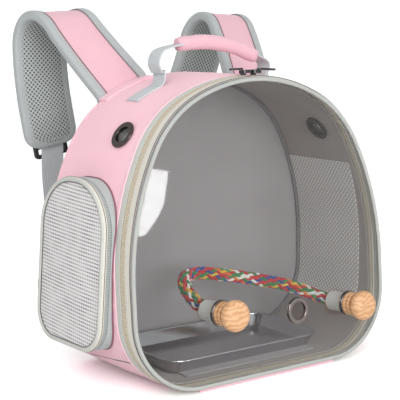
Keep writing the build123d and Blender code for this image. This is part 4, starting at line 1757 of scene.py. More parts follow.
@dataclass
class BackPanel:
    """The wearer's side: board covered in pink, its lining, seam binding and a soft pad."""

    front: float = 66.1 * MM
    back: float = 72 * MM
    edge: float = 2.2 * MM
    lining: Pair = (64.7 * MM, 65.9 * MM)
    lining_inset: float = 3.5 * MM
    pad_inset: float = 30 * MM
    pad: Pair = (72.1 * MM, 79 * MM)
    binding_depth: float = 63.0 * MM
    binding_inset: float = 5.2 * MM
    binding_radius: float = 1.6 * MM

    def build(self) -> None:
        """Make every piece of the back."""
        front, back, edge = self.front, self.back, self.edge
        rows = [(0, share, front) for share in (1, 0.75, 0.5, 0.25, 0.04)]
        rows += [(0.4 * MM, 0, front), (0, 0, front + 0.6 * MM), (0, 0, back - edge)]
        rows += [(edge * (1 - cos(a)), 0, back - edge + edge * sin(a)) for a in (0.5, 1.0, 1.57)]
        rows += [(edge, share, back) for share in (0.04, 0.25, 0.5, 0.75, 1)]
        bm = outward(plate(rows, front))
        finished("back_cloth", bm, PINK, "carrier", "pink_fabric", ["back_panel"])
        near, far = self.lining
        shares = steps(0, 1, 0.05)
        rows = [(self.lining_inset, share, near) for share in shares[::-1]]
        rows += [(self.lining_inset, share, far) for share in shares]
        bm = outward(plate(rows, self.back))
        for vert in bm.verts:
            vert.co.y += soft_noise(vert.co, 0.05, 0.5 * MM)
        finished("back_lining_cloth", bm, GREY, "carrier", "lining_fabric", ["back_lining"])
        ring = [ARCH.at_depth(s, self.binding_depth, self.binding_inset) for s in ARCH.round(BAND_PITCH)]
        bm = loop_tube(ring, self.binding_radius)
        finished("back_seam_tape", bm, INNER_BOUND, "carrier", "binding_tape", ["back_seam_binding"])
        self.soft_pad()

    def soft_pad(self) -> None:
        """The wearer's pad, filled by simulation."""
        low, high = self.pad
        crown = (high - low) / 2
        rows = [(self.pad_inset + crown, share, low) for share in (1, 0.8, 0.6, 0.4, 0.2, 0.0)]
        for step in range(1, 8):
            turn = pi * step / 8
            inset = self.pad_inset + crown * (1 - sin(turn))
            rows.append((inset, 0, (low + high) / 2 - crown * cos(turn)))
        rows += [(self.pad_inset + crown, share, high) for share in steps(0, 1, 0.045)]
        piece = finished(
            "back_pad_cover", outward(plate(rows, self.back)), AIR, "carrier", "pad_mesh", ["back_pad"],
            levels=1,
        )
        billow(piece, lambda p: 1.0 if p.y < low + crown else 0.0, 3.0, 1.6 * MM)
        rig.padded(piece, 0.7)


# ---- front door
def rim_local(x: float, height: float, out: float, behind: float = -2.2 * MM) -> Vector:
    """A point on the door's leaning plane.

    Args:
        x: Across.
        height: Up along the plane.
        out: Out of the plane.
        behind: The plane's distance behind the rim.

    Returns:
        The point.
    """
    tilt = ARCH.lean
    foot = Vector((0, ARCH.front - ARCH.base * tan(tilt) + behind, 0))
    return foot + Vector((x, height * sin(tilt) - out * cos(tilt), height * cos(tilt) + out * sin(tilt)))


DOOR_OUT = Vector((0, -cos(ARCH.lean), sin(ARCH.lean)))


@dataclass
class FrontDoor:
    """The zipped clear door: its tape and coil, the body's coil and tape, piping and window."""

    door_tape: Pair = (0.1 * MM, 8.0 * MM)
    body_tape: Pair = (14.9 * MM, 22.2 * MM)
    tape_inset: Pair = (0.35 * MM, 1.5 * MM)
    coil_door: Pair = (8.1 * MM, 11.3 * MM)
    coil_body: Pair = (11.6 * MM, 14.8 * MM)
    coil_inset: Pair = (1.1 * MM, 1.9 * MM)
    tooth_pitch: float = 2.1 * MM
    tooth_inset: float = 1 * MM
    cord_pitch: float = 3.5 * MM
    piping_radius: float = 1.8 * MM
    piping_inset: float = 2.0 * MM
    film: float = 0.8 * MM
    film_inset: float = 3.9 * MM
    bulge: float = 2.5 * MM
    holes: tuple[Pair, ...] = ((-53 * MM, 67 * MM), (34 * MM, 57 * MM), (100 * MM, 54.5 * MM))
    hole_radius: float = 9.6 * MM

    def build(self) -> None:
        """Make every piece of the door and the rim's zip."""
        for name, ends, finish, body, slot, node in (
            ("door_tape", self.door_tape, CREAM, "front_door", "door_tape", "zipper_tape_door"),
            ("body_tape", self.body_tape, PALE, "carrier", "body_tape", "zipper_tape_body"),
        ):
            middle, half = (ends[0] + ends[1]) / 2, (ends[1] - ends[0]) / 2
            high, low = self.tape_inset
            section = [(middle + x, y) for x, y in oval(half, high, low, 5.0, 20)]
            finished(name, band(section), finish, body, slot, [node])
        self.coil("door_coil", self.coil_door, 0.0, "front_door", "zipper_coil_door")
        self.coil("body_coil", self.coil_body, 0.5, "carrier", "zipper_coil_body")
        self.piping()
        self.window()

    def coil(self, name: str, ends: Pair, offset: float, body: str, node: str) -> None:
        """One half of the coil: a base cord with its teeth.

        Args:
            name: The pieces' name.
            ends: Its reach behind the rim.
            offset: The teeth's offset as a share of the pitch.
            body: The body that it rides on.
            node: The solid that it stands for.
        """
        middle, half = (ends[0] + ends[1]) / 2, (ends[1] - ends[0]) / 2
        section = [(middle + x, y) for x, y in oval(half, *self.coil_inset, 3.0, 10)]
        finished(name, band(section), TOOTH, body, "zip_coil", [node])
        count = round(2 * ARCH.half / self.tooth_pitch)
        places = []
        for index in range(count):
            s = 2 * ARCH.half * (index + offset) / count
            y = ARCH.rim_depth(s, middle, self.tooth_inset)
            point = ARCH.at_depth(s, y, self.tooth_inset)
            ahead = ARCH.on_rim(s + 0.5 * MM, middle, self.tooth_inset)
            places.append((point, ahead - point, ARCH.out(s, y)))
        bm = teeth(places, (1.35 * MM, 2.25 * half, 1.9 * MM))
        finished(f"{name}_teeth", bm, TOOTH, body, "zip_coil")

    def piping(self) -> None:
        """The piping round the window and the fold beside it."""
        ring, fold = [], []
        for s in ARCH.round(self.cord_pitch):
            x, z, _, _ = ARCH.section(s, ARCH.front, self.piping_inset)
            ring.append(rim_local(x, z, 0.0))
            fold.append(ARCH.on_rim(s, 0.0, 0.35 * MM))
        finished("door_piping_cord", loop_tube(ring, self.piping_radius, 14), WHITE_EDGE, "front_door",
                 "binding_tape", ["door_piping"])
        finished("door_fold_seam", loop_tube(fold, 0.4 * MM, 6), SHADE, "front_door", "door_tape")

    def window(self) -> None:
        """The clear film, bulging slightly above the perch."""
        middle = Vector((0, MIDDLE_HEIGHT))
        near = -self.film / 2

        def place(s: float, share: float) -> Vector:
            x, z, _, _ = ARCH.section(s, ARCH.front, self.film_inset)
            point = Vector((x, z)).lerp(middle, share)
            crown = sin(pi / 2 * min(1.0, share * 1.6)) * smooth_ease(point.y, 0.09, 0.17)
            return rim_local(point.x, point.y, -near + self.bulge * crown)

        bm = drape(ARCH.round(SHEET_PITCH), steps(0, 1, 0.05), place, closed=True)
        wall(turn_out(bm, lambda p: DOOR_OUT), self.film)
        piece = finished("window_film", bm, CLEAR, "front_door", "clear_film", ["window"])
        for x, z in self.holes:
            foot = rim_local(x, z / cos(ARCH.lean), 0.0)
            cut(piece, post(foot, DOOR_OUT, self.hole_radius, 8 * MM))
        shaded(piece.data)


@dataclass
class Perch:
    """The rope perch bolted through the window: knobs, grommets, caps and the plaited rope."""

    radius: float = 4.5 * MM
    swing: float = 0.8 * MM
    strand: float = 1.35 * MM
    strands: int = 8
    lay: float = 82 * MM
    rope_lead: float = 11 * MM
    sway: tuple[tuple[float, float, float], ...] = (
        (-54 * MM, -6 * MM, 83 * MM), (-34 * MM, 9 * MM, 88 * MM), (2 * MM, 6 * MM, 82 * MM),
        (42 * MM, -1 * MM, 73 * MM), (80 * MM, -8 * MM, 63 * MM),
    )
    cap_front: float = -4.0 * MM
    cap_length: float = 20 * MM
    bolt_grip: float = 7 * MM
    film_back: float = -2.6 * MM  # of the film's inner face behind the rim
    core_gap: float = 0.4 * MM

    def build(self, door: FrontDoor) -> None:
        """Dress the hard parts and plait the rope.

        Args:
            door: The door, which places the holes.
        """
        for place in ("left", "middle", "right"):
            dress(f"grommet_{place}", DARK_NICKEL, 0.5 * MM)
        for place in ("left", "right"):
            dress(f"knob_{place}", KNOB, 0.8 * MM, 50)
            dress(f"perch_cap_{place}", CAP, 1.2 * MM)
        dress("perch_bolts", ZINC, 0.4 * MM)
        dress("perch_washers", ZINC, 0.3 * MM)
        ends = [door.holes[0], door.holes[2]]
        cap_back = self.cap_front - self.cap_length
        deep = (self.cap_front - self.bolt_grip + cap_back) / 2
        route = [self.from_window(*ends[0], out) for out in (deep, cap_back - self.rope_lead)]
        route += [Vector(place) for place in self.sway]
        route += [self.from_window(*ends[1], out) for out in (cap_back - self.rope_lead, deep)]
        self.rope(even(curve_points(route), 1.0 * MM))

    def from_window(self, x: float, z: float, out: float) -> Vector:
        """A point behind a hole of the window; out is negative inside."""
        return rim_local(x, z / cos(ARCH.lean), out, self.film_back)

    def rope(self, line: Sequence[Vector]) -> None:
        """Plait strands round the rope's line.

        Args:
            line: The rope's centreline.
        """
        frames = carried(line)
        step = (line[1] - line[0]).length
        bm = new_group()
        for hand in (1, -1):
            for index in range(self.strands):
                start = 2 * pi * index / self.strands
                path = []
                for at, (point, (x, y)) in enumerate(zip(line, frames)):
                    turn = hand * (2 * pi * at * step / self.lay) + start
                    wave = cos(self.strands * 2 * pi * at * step / self.lay)
                    reach = self.radius + hand * self.swing * wave
                    path.append(point + (x * cos(turn) + y * sin(turn)) * reach)
                part = tube(path, lambda share: self.strand, 7)
                loops = part.loops.layers.uv.verify()
                offset = index + (self.strands if hand < 0 else 0)
                for face in part.faces:
                    for loop in face.loops:
                        loop[loops].uv = (loop[loops].uv.x, float(offset))
                pour(bm, part)
        pour(bm, tube(line, lambda share: self.radius - self.core_gap, 12))
        finished("perch_rope_plait", bm, PLAIT, "front_door", "woven_rope", ["perch_rope"])


@dataclass
class ZipSliders:
    """The two crown sliders with their pulls."""

    def build(self) -> None:
        """Dress the sliders."""
        for side in Side:
            dress(f"slider_{side.tag}", ENAMEL, 0.7 * MM)
            dress(f"pull_{side.tag}", ENAMEL, 0.4 * MM)


@dataclass
class Eyelets:
    """The metal eyelets on the shoulders with their net screens."""

    radius: float = 7.7 * MM
    crown: float = 0.8 * MM

    def build(self, shell: CabinShell) -> None:
        """Dress the eyelets and lay their screens.

        Args:
            shell: The cabin, which places them.
        """
        group = new_group()
        for side in Side:
            dress(f"eyelet_{side.tag}", BRASS, 0.5 * MM)
            foot, out = shell.eyelet_place(side)
            x = square_to(Vector((0, 1, 0)), out)
            y = out.cross(x)

            def place(turn: float, share: float) -> Vector:
                reach = self.radius * share
                rise = -0.6 * MM + self.crown * (1 - share * share)
                return foot + x * cos(turn) * reach + y * sin(turn) * reach + out * rise

            def mapped(turn: float, share: float) -> Pair:
                return cos(turn) * self.radius * share, sin(turn) * self.radius * share

            disc = drape(steps(0, 2 * pi, pi / 16), steps(0, 1, 0.2), place, mapped, closed=True)
            pour(group, wall(turn_out(disc, lambda p: out), 0.4 * MM))
        finished("eyelet_nets", group, SCREEN, "carrier", "net_mesh", ["eyelet_screens"])


# ---- side pockets
@dataclass
class SidePocket:
    """A zip-open side pocket: pink gusset, zip ring, bound rim and net face."""

    side: Side
    middle: float = 11 * MM
    height: float = 83 * MM
    low: float = -46 * MM
    high: float = 104 * MM
    half: float = 51.5 * MM
    crown: float = 47 * MM
    foot: float = 28 * MM
    tilt: float = radians(4)
    gusset_top: float = 4.1 * MM
    gusset_inset: float = 1.0 * MM
    gusset_wall: float = 2.4 * MM
    zip_low: float = 4.2 * MM
    zip_high: float = 7.7 * MM
    zip_inset: float = 0.3 * MM
    rim: Pair = (8.0 * MM, 14.0 * MM)
    rim_width: float = 5 * MM
    piping: float = 1.9 * MM
    net: float = 12.0 * MM
    bulge: float = 1.4 * MM
    tooth_pitch: float = 2.2 * MM
    pitch: float = 3.5 * MM  # between the outline's points
    deepest_root: float = 42 * MM
    root_gap: float = 0.2 * MM
    root_seam: float = 0.8 * MM
    swell: float = 0.7 * MM  # how far the band bulges between its seams

    def build(self) -> None:
        """Make every piece of the pocket."""
        self.gusset()
        self.zip()
        self.face()
        dress(f"pocket_slider_{self.side.tag}", ENAMEL, 0.5 * MM)

    def point(self, u: float, v: float, out: float) -> Vector:
        """A point off the side wall, on the pocket's own axes.

        Args:
            u: Along the wall, forwards.
            v: Up the wall.
            out: Out from the wall plane.

        Returns:
            The point.
        """
        splay = atan(ARCH.flare / ARCH.depth)
        origin = Vector(
            (-(ARCH.half_flat + ARCH.corner + ARCH.spread(self.middle)), self.middle, self.height)
        )
        x = Vector((sin(splay), -cos(splay), 0))
        z = Vector((-cos(splay) * cos(self.tilt), -sin(splay) * cos(self.tilt), sin(self.tilt)))
        made = origin + x * u + z.cross(x) * v + z * out
        return Vector((made.x * -self.side.value, made.y, made.z))

    def way_out(self) -> Vector:
        """The direction out of the pocket's face."""
        return (self.point(0, 0, 1) - self.point(0, 0, 0)).normalized()

    def outline(self, inset: float) -> list[Pair]:
        """The pocket's D-shaped outline.

        Args:
            inset: Drawn in by this much; all outlines have the same count of points.

        Returns:
            (u, v) points, the first repeated at the end.
        """
        top, bottom = self.half - self.crown, self.half - self.foot
        shoulder, heel = self.high - self.crown, self.low + self.foot
        arcs = (
            (top, shoulder, self.crown, 0), (-top, shoulder, self.crown, 90),
            (-bottom, heel, self.foot, 180), (bottom, heel, self.foot, 270),
        )
        made = []
        for index, (x, y, radius, start) in enumerate(arcs):
            for step in range(ceil(radius * pi / 2 / self.pitch) + 1):
                turn = radians(start + 90 * step / ceil(radius * pi / 2 / self.pitch))
                made.append((x + (radius - inset) * cos(turn), y + (radius - inset) * sin(turn)))
            ahead = arcs[(index + 1) % 4]
            turn = radians(ahead[3])
            end = (ahead[0] + (ahead[2] - inset) * cos(turn), ahead[1] + (ahead[2] - inset) * sin(turn))
            gap = dist((ahead[0], ahead[1]), (x, y))
            count = max(1, round((gap + abs(ahead[2] - radius)) / self.pitch))
            a = made[-1]
            for step in range(1, count):
                made.append((a[0] + (end[0] - a[0]) * step / count, a[1] + (end[1] - a[1]) * step / count))
        made.append(made[0])
        return made

    def ring(self, section: Sequence[Pair]) -> BMesh:
        """A closed ring on the outline.

        Args:
            section: Its closed section as (inset, out) points, the first repeated at the end.

        Returns:
            The ring.
        """
        outlines = [self.outline(inset) for inset, _ in section]
        lengths, girth = distances(outlines[0]), distances(section)

        def place(column: float, row: float) -> Vector:
            u, v = outlines[round(row)][round(column)]
            return self.point(u, v, section[round(row)][1])

        def mapped(column: float, row: float) -> Pair:
            return girth[round(row)], lengths[round(column)]

        return outward(drape(range(len(lengths)), range(len(section)), place, mapped, closed=True))

    def root(self, u: float, v: float) -> float:
        """How far in from the wall plane the cabin's cloth lies.

        Args:
            u: Along the wall.
            v: Up the wall.

        Returns:
            The height off the wall plane, mostly negative.
        """

        def sunk(out: float) -> bool:
            point = self.point(u, v, out)
            s = SHELL.s_at_height(point.z, 0.0)
            return abs(point.x) <= ARCH.section(s, point.y, 0.0)[0] + self.root_gap

        return bisected(-self.deepest_root, self.gusset_top, 18, sunk)[1]

    def gusset(self) -> None:
        """The pink band that joins the pocket to the cabin."""
        line = self.outline(self.gusset_inset)
        inner = self.outline(self.gusset_inset + self.gusset_wall)
        roots = [self.root(u, v) for u, v in line]
        shares = steps(0, 1, 1 / 6)
        rows = [(share, 0) for share in shares] + [(share, 1) for share in shares[::-1]] + [(0.0, 0)]

        def place(column: float, row: float) -> Vector:
            share, inside = rows[round(row)]
            index = round(column)
            u, v = (inner if inside else line)[index]
            out = roots[index] + (self.gusset_top - roots[index]) * share
            swell = 0 if inside else self.swell * sin(pi * share)
            middle = (0.0, (self.low + self.high) / 2)
            reach = dist((u, v), middle)
            grow = 1 + swell / reach
            return self.point(u * grow, middle[1] + (v - middle[1]) * grow, out)

        def mapped(column: float, row: float) -> Pair:
            return column * self.pitch, rows[round(row)][0] * 12 * MM + rows[round(row)][1] * 20 * MM

        bm = outward(drape(range(len(line)), range(len(rows)), place, mapped, closed=True))
        finished(f"pocket_gusset_cloth_{self.side.tag}", bm, BOUND, "carrier", "binding_tape",
                 [f"pocket_gusset_{self.side.tag}"])
        seam = [self.point(u, v, out + 0.6 * MM) for (u, v), out in zip(
            self.outline(self.gusset_inset - 0.6 * MM), roots
        )]
        finished(f"pocket_root_seam_{self.side.tag}", loop_tube(
            seam, self.root_seam, 8
        ), ROOT, "carrier", "pink_fabric")

    def zip(self) -> None:
        """The pocket's zip: a tape ring with teeth on its outer face."""
        middle = self.zip_inset + 1.2 * MM
        height, half = (self.zip_low + self.zip_high) / 2, (self.zip_high - self.zip_low) / 2
        section = [(middle + 0.35 * MM + x, height + y) for x, y in oval(0.9 * MM, -half, half, 3.0, 12)]
        tag = self.side.tag
        finished(
            f"pocket_zip_tape_{tag}", self.ring(section), BOUND, "carrier", "zip_coil", [f"pocket_zip_{tag}"]
        )
        places = []
        line = [self.point(u, v, height) for u, v in self.outline(self.zip_inset + 0.8 * MM)]
        line = even(line, self.tooth_pitch)
        centre = self.point(0, (self.low + self.high) / 2, height)
        for index, point in enumerate(line[:-1]):
            places.append((point, line[index + 1] - line[index - 1 if index else -2], point - centre))
        bm = teeth(places, (1.4 * MM, 3.2 * MM, 1.5 * MM))
        finished(f"pocket_zip_teeth_{tag}", bm, TOOTH_GREY, "carrier", "zip_coil")

    def face(self) -> None:
        """The bound rim, the net and their stitching."""
        tag = self.side.tag
        body = f"pocket_door_{tag}"
        low, high = self.rim
        half = self.rim_width / 2
        section = [(half + x, y) for x, y in oval(half, low, high - 1.4 * MM, 3.2, 20)]
        finished(
            f"pocket_binding_{tag}", self.ring(section), CREAM, body, "grey_webbing", [f"pocket_rim_{tag}"]
        )
        cord = [self.point(u, v, high - self.piping) for u, v in self.outline(self.piping + 0.5 * MM)]
        finished(f"pocket_piping_{tag}", loop_tube(cord, self.piping, 12), PALE, body, "grey_webbing")
        edge = self.outline(self.rim_width - 1.5 * MM)
        centre = (0.0, (self.low + self.high) / 2)

        def place(column: float, share: float) -> Vector:
            u, v = edge[round(column)]
            u, v = u * (1 - share), v + (centre[1] - v) * share
            rise = self.bulge * sin(pi / 2 * min(1.0, share * 1.3))
            return self.point(u, v, self.net + rise + soft_noise(
                Vector((u, v, self.side.value)), 0.04, 0.5 * MM
            ) * min(1, share * 5))

        def mapped(column: float, share: float) -> Pair:
            u, v = edge[round(column)]
            u, v = u * (1 - share), v + (centre[1] - v) * share
            return u, v + u * 0.06

        bm = turn_out(drape(range(len(edge)), steps(0, 1, 0.05), place, mapped, closed=True),
                      lambda p: self.way_out())
        area = sum(face.calc_area() for face in bm.faces)
        wall(bm, NET_THREAD)
        net = finished(f"pocket_net_{tag}", bm, FACE_NET, body, "net_mesh", [f"pocket_mesh_{tag}"])
        us, vs = [p[0] for p in edge], [p[1] for p in edge]
        flat = (max(us) - min(us), max(vs) - min(vs))
        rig.sheet(
            net, flat, "stretched", rests_on=[f"pocket_binding_{tag}"], area=min(area, flat[0] * flat[1])
        )
        seam = [self.point(u, v, high - 1.5 * MM) for u, v in self.outline(2 * self.piping + 0.8 * MM)]
        finished(f"pocket_seam_{tag}", loop_tube(seam, 0.45 * MM, 6), SHADE, body, "binding_tape")
        fold = [self.point(u, v, high - 3.6 * MM) for u, v in self.outline(-0.05 * MM)]
        finished(f"pocket_fold_{tag}", loop_tube(fold, 0.35 * MM, 6), SHADE, body, "grey_webbing")


# ---- top handle
def crown_height(y: float, x: float) -> float:
    """Height of the outer surface on the crown.

    Args:
        y: Depth.
        x: Across.

    Returns:
        The height.
    """
    side_x = ARCH.shoulder_x + ARCH.spread(y)
    half = ARCH.crown_half
    radius = ARCH.shoulder + side_x / sin(half)
    return ARCH.shoulder_z - side_x / tan(half) + sqrt(radius**2 - x**2)


@dataclass
class TopHandle:
    """The carrying handle: sewn tabs, folded webbing risers and a padded grip."""

    depth: float = 20 * MM
    width: float = 20 * MM
    webbing: float = 1.6 * MM
    inner: float = 59 * MM
    outer: float = 90 * MM
    pivot_rise: float = 11 * MM
    lap: float = 3 * MM
    gap: float = 0.4 * MM
    riser_bulge: float = 4 * MM
    left_rises: Pair = (9 * MM, 20.5 * MM)
    right_rises: Pair = (7 * MM, 11.8 * MM)
    grip_points: tuple[Pair, ...] = ((-41 * MM, 302.5 * MM), (0, 305 * MM), (53 * MM, 291.5 * MM))
    grip_radius: float = 7 * MM
    grip_arcs: Pair = (1.1 * MM, 2.6 * MM)  # how far each half of the grip bows up
    stitch_half: float = 7.5 * MM
    stitch_pitch: float = 3 * MM

    def build(self) -> None:
        """Make every piece of the handle."""
        self.tabs()
        self.risers()
        self.grip()

    @property
    def pivot(self) -> float:
        """Height of the line that the handle swings about."""
        return crown_height(self.depth, self.inner) + self.pivot_rise

    def run(self, points: Sequence[Pair]) -> BMesh:
        """Webbing along points across and up.

        Args:
            points: What its middle passes through.

        Returns:
            The closed webbing.
        """
        line = through([Vector((x, self.depth, z)) for x, z in points], 1.5 * MM)
        stations = along_line(line, lambda index: Vector((0, 1, 0)))
        half, thick = self.width / 2, self.webbing / 2
        return strip(stations, lambda share: oval(half, -thick, thick, 6.0, 20))

    def tabs(self) -> None:
        """The two tabs sewn over the crown and turned up beside the risers."""
        group, sewn = new_group(), []
        for side in Side:
            x = self.inner + self.webbing / 2
            points = []
            for across in steps(self.outer, self.inner + 5 * MM, 6 * MM):
                points.append(
                    (side.value * across, crown_height(self.depth, across) + self.webbing / 2 + 0.1 * MM)
                )
            top = crown_height(self.depth, x)
            points += [(side.value * (x + 0.9 * MM), top + 2.6 * MM), (side.value * x, top + 6 * MM)]
            points += [(side.value * x, self.pivot + self.lap)]
            pour(group, self.run(points))
            near, far, half = self.inner + 8 * MM, self.outer - 3 * MM, self.stitch_half
            rise = Vector((side.value, 0, -0.4)), Vector((0, 0, 1))
            run = Vector((0, 1, 0)), Vector((side.value * 0.4, 0, 1))
            pitch = self.stitch_pitch
            spots = [(across, y, rise) for across in steps(near, far, pitch) for y in (-half, half)]
            spots += [(across, y, run) for y in steps(-half, half, pitch) for across in (near, far)]
            for across, y, ways in spots:
                height = crown_height(self.depth, across) + self.webbing + 0.2 * MM
                sewn.append((Vector((side.value * across, self.depth + y, height)), *ways))
        finished("handle_tab_webbing", group, STRAP, "carrier", "grey_webbing", ["handle_tabs"])
        finished("handle_tab_stitches", stitches(sewn), SEWING, "carrier", "grey_webbing")

    def risers(self) -> None:
        """The webbing between the tabs and the grip."""
        foot = self.inner + 1.5 * self.webbing + self.gap
        pivot, bulge = self.pivot, self.riser_bulge
        left, right = self.grip_points[0], self.grip_points[-1]
        runs = {
            Side.LEFT: (
                (-foot, pivot), (-foot - bulge, pivot + self.left_rises[0]),
                (-foot + bulge / 2, pivot + self.left_rises[1]), (left[0] + 3 * MM, left[1] + 0.4 * MM),
            ),
            Side.RIGHT: (
                (foot, pivot), (foot + bulge / 2, pivot + self.right_rises[0]),
                (foot - bulge / 2, pivot + self.right_rises[1]), (right[0] - 3 * MM, right[1] + 1.0 * MM),
            ),
        }
        for side, points in runs.items():
            finished(f"handle_webbing_{side.tag}", self.run(points), STRAP, "handle", "grey_webbing",
                     [f"handle_riser_{side.tag}"])

    def grip(self) -> None:
        """The padded pink grip, filled by simulation, with its seam underneath."""
        a, b, c = (Vector((x, self.depth, z)) for x, z in self.grip_points)
        left, right = (middle + Vector((0, 0, arc)) for middle, arc in zip(
            (a.lerp(b, 0.5), b.lerp(c, 0.5)), self.grip_arcs
        ))
        line = through([a, left, b, right, c], 2.2 * MM)
        stations = along_line(line, lambda index: Vector((0, 1, 0)))

        def section(share: float) -> list[Pair]:
            end = min(share, 1 - share)
            full = 0.86 + 0.14 * smooth_ease(end, 0.0, 0.08)
            return oval(self.grip_radius * full, -self.grip_radius * full, self.grip_radius * full, 2.2, 28)

        piece = finished("handle_grip_cover", strip(stations, section), PINK_SOFT, "handle", "pink_fabric",
                         ["handle_grip"], levels=1)
        ends = (line[0].x + 4 * MM, line[-1].x - 4 * MM)
        billow(piece, lambda p: 0.0 if ends[0] < p.x < ends[1] else 1.0, 2.0, 0.7 * MM)
        for vert in piece.data.vertices:
            fold = exp(-(((vert.co.x + 26 * MM) / (2.2 * MM)) ** 2))
            fold += 0.6 * exp(-(((vert.co.x - 30 * MM) / (2.0 * MM)) ** 2))
            middle = min(line, key=lambda p: (p - vert.co).length)
            vert.co -= (vert.co - middle) * 0.10 * fold
        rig.padded(piece, 0.8)
        rows = []
        out = Vector((0, -0.75, -0.66))
        for index in range(2, len(line) - 2):
            rows.append((line[index] + out * (self.grip_radius + 0.1 * MM), tangent_at(line, index), out))
        finished("handle_grip_stitches", stitches(rows, 1.5 * MM), SEWING, "handle", "pink_fabric")


# ---- shoulder straps
@dataclass
class ShoulderStrap:
    """A padded shoulder strap with its lock and the webbing down to the anchor."""

    side: Side
    root: float
    tilt: float
    end: float
    bow: float
    rise: float
    crest: float
    turn: float
    fall: float
    root_depth: float = 76 * MM
    root_height: float = 262 * MM
    rise_angle: float = radians(50)
    tilt_fade: float = 0.5
    start: float = -0.055
    root_bend: Pair = (84 * MM, 116 * MM)
    half: float = 28.5 * MM
    corner: float = 15 * MM
    pad: Pair = (-6.6 * MM, 0.2 * MM)
    mesh: Pair = (0.2 * MM, 3.4 * MM)
    binding: float = 9.5 * MM
    binding_reach: Pair = (-6.6 * MM, 3.3 * MM)
    webbing: float = 25 * MM
    thickness: float = 1.6 * MM
    hang: tuple[tuple[float, float, float], ...] = (
        (0.15, 3 * MM, 38 * MM), (0.4, 18 * MM, 82 * MM), (0.75, 52 * MM, 130 * MM)
    )
    foot: tuple[float, float, float] = (100 * MM, 92.1 * MM, 24 * MM)
    station_pitch: float = 4 * MM
    box_half: float = 9 * MM
    box_reach: Pair = (34 * MM, 15 * MM)
    stitch_pitch: float = 3.2 * MM
    trim: float = 3.5 * MM  # the cover ends this far inside the binding's edge

    def build(self) -> None:
        """Make every piece of the strap."""
        self.cover()
        self.edge()
        self.box_stitches()
        self.lower()
        self.bend_at_root()
        dress(f"ladder_lock_{self.side.tag}", ACETAL, 0.7 * MM)

    @property
    def length(self) -> float:
        """Length of the strap's middle line seen from the side."""
        return self.rise + self.crest * radians(self.turn) + self.fall

    def side_view(self, distance: float) -> Pair:
        """A point of the middle line seen from the side.

        Args:
            distance: Along the line from the root.

        Returns:
            Depth and height.
        """
        angle = self.rise_angle
        y, z = self.root_depth, self.root_height
        if distance < 0:
            return y - 0.25 * distance, z + distance
        straight = min(distance, self.rise)
        y, z = y + straight * cos(angle), z + straight * sin(angle)
        if distance <= self.rise:
            return y, z
        middle = (y + self.crest * sin(angle), z - self.crest * cos(angle))
        turned = min((distance - self.rise) / self.crest, radians(self.turn))
        angle -= turned
        y, z = middle[0] - self.crest * sin(angle), middle[1] + self.crest * cos(angle)
        rest = max(0.0, distance - self.rise - self.crest * radians(self.turn))
        return y + rest * cos(angle), z + rest * sin(angle)

    def point(self, share: float) -> Vector:
        """A point on the strap's middle line.

        Args:
            share: Share of its length from the root.

        Returns:
            The point.
        """
        y, z = self.side_view(share * self.length)
        across = self.root + (self.end - self.root) * share + self.bow * sin(pi * share)
        return Vector((self.side.value * across, y, z))

    def station(self, share: float) -> Station:
        """The strap's cross directions.

        Args:
            share: Share of its length from the root.

        Returns:
            The place, with across to the right and out to the wearer's side.
        """
        along = (self.point(min(share + 0.01, 1)) - self.point(share - 0.01)).normalized()
        roll = -self.side.value * radians(self.tilt) * max(0.0, 1 - share / self.tilt_fade)
        across = Vector((cos(roll), 0, sin(roll)))
        across = square_to(across, along)
        return Station(self.point(share), across, along.cross(across))

    def half_at(self, share: float, half: float, corner: float) -> float:
        """Half the width at a share of the length, less near the rounded lower end."""
        left = corner - (1 - share) * self.length
        return half if left <= 0 else half - corner + sqrt(max(0.0, corner**2 - left**2))

    def cover(self) -> None:
        """The pink face, filled by simulation, and the air mesh on the wearer's side."""
        tag = self.side.tag
        last = 1 - self.trim / self.length
        shares = steps(self.start, last, self.station_pitch / self.length)
        half, corner = self.half - self.trim, self.corner - self.trim
        stations = [self.station(share) for share in shares]

        def width(share: float) -> float:
            place = self.start + (last - self.start) * share
            return self.half_at(place + 1 - last, half, corner)

        low, high = self.pad
        bm = strip(stations, lambda share: oval(width(share), low + 1.2 * MM, high, 3.4, 36))
        piece = finished(f"strap_cover_{tag}", bm, PINK_SOFT, None, "pink_fabric", [f"strap_pad_{tag}"],
                         levels=1)

        def held(point: Vector) -> float:
            near = min(stations, key=lambda s: (s.origin - point).length)
            across = (point - near.origin).dot(near.across)
            edge = abs(across) > half - 6.5 * MM
            ends = near in stations[:2] or near in stations[-3:]
            return 1.0 if edge or ends or (point - near.origin).dot(near.out) > low / 2 else 0.0

        billow(piece, held, 5.0, 2.2 * MM)
        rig.padded(piece, 0.6)
        low, high = self.mesh
        bm = strip(stations, lambda share: oval(width(share), low, high, 3.4, 28))
        piece = finished(f"strap_air_mesh_{tag}", bm, AIR, None, "pad_mesh", [f"strap_mesh_{tag}"])
        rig.padded(piece, 0.5)

    def border(self, inset: float, pitch: float) -> list[Frame]:
        """Points round the strap's sides and lower end.

        Args:
            inset: Inside the edge.
            pitch: Spacing.

        Returns:
            For each its place on the middle surface, its inward direction and the way to the wearer.
        """
        half, corner, whole = self.half - inset, self.corner - inset, self.length - inset
        flat = [(d, -half) for d in steps(self.start * self.length, whole - corner, pitch)]
        for angle in steps(0, pi / 2, pitch / corner)[1:]:
            flat.append((whole - corner + corner * sin(angle), -half + corner - corner * cos(angle)))
        flat += [(whole, x) for x in steps(-half + corner, 0, pitch)[1:]]
        flat += [(d, -x) for d, x in flat[-2::-1]]
        made = []
        for index, (d, x) in enumerate(flat):
            before, after = flat[max(index - 1, 0)], flat[min(index + 1, len(flat) - 1)]
            run = Vector((after[1] - before[1], after[0] - before[0])).normalized()
            station = self.station(d / self.length)
            along = station.across.cross(station.out)
            inward = station.across * run.y - along * run.x
            made.append((station.origin + station.across * x, inward, station.out))
        return made

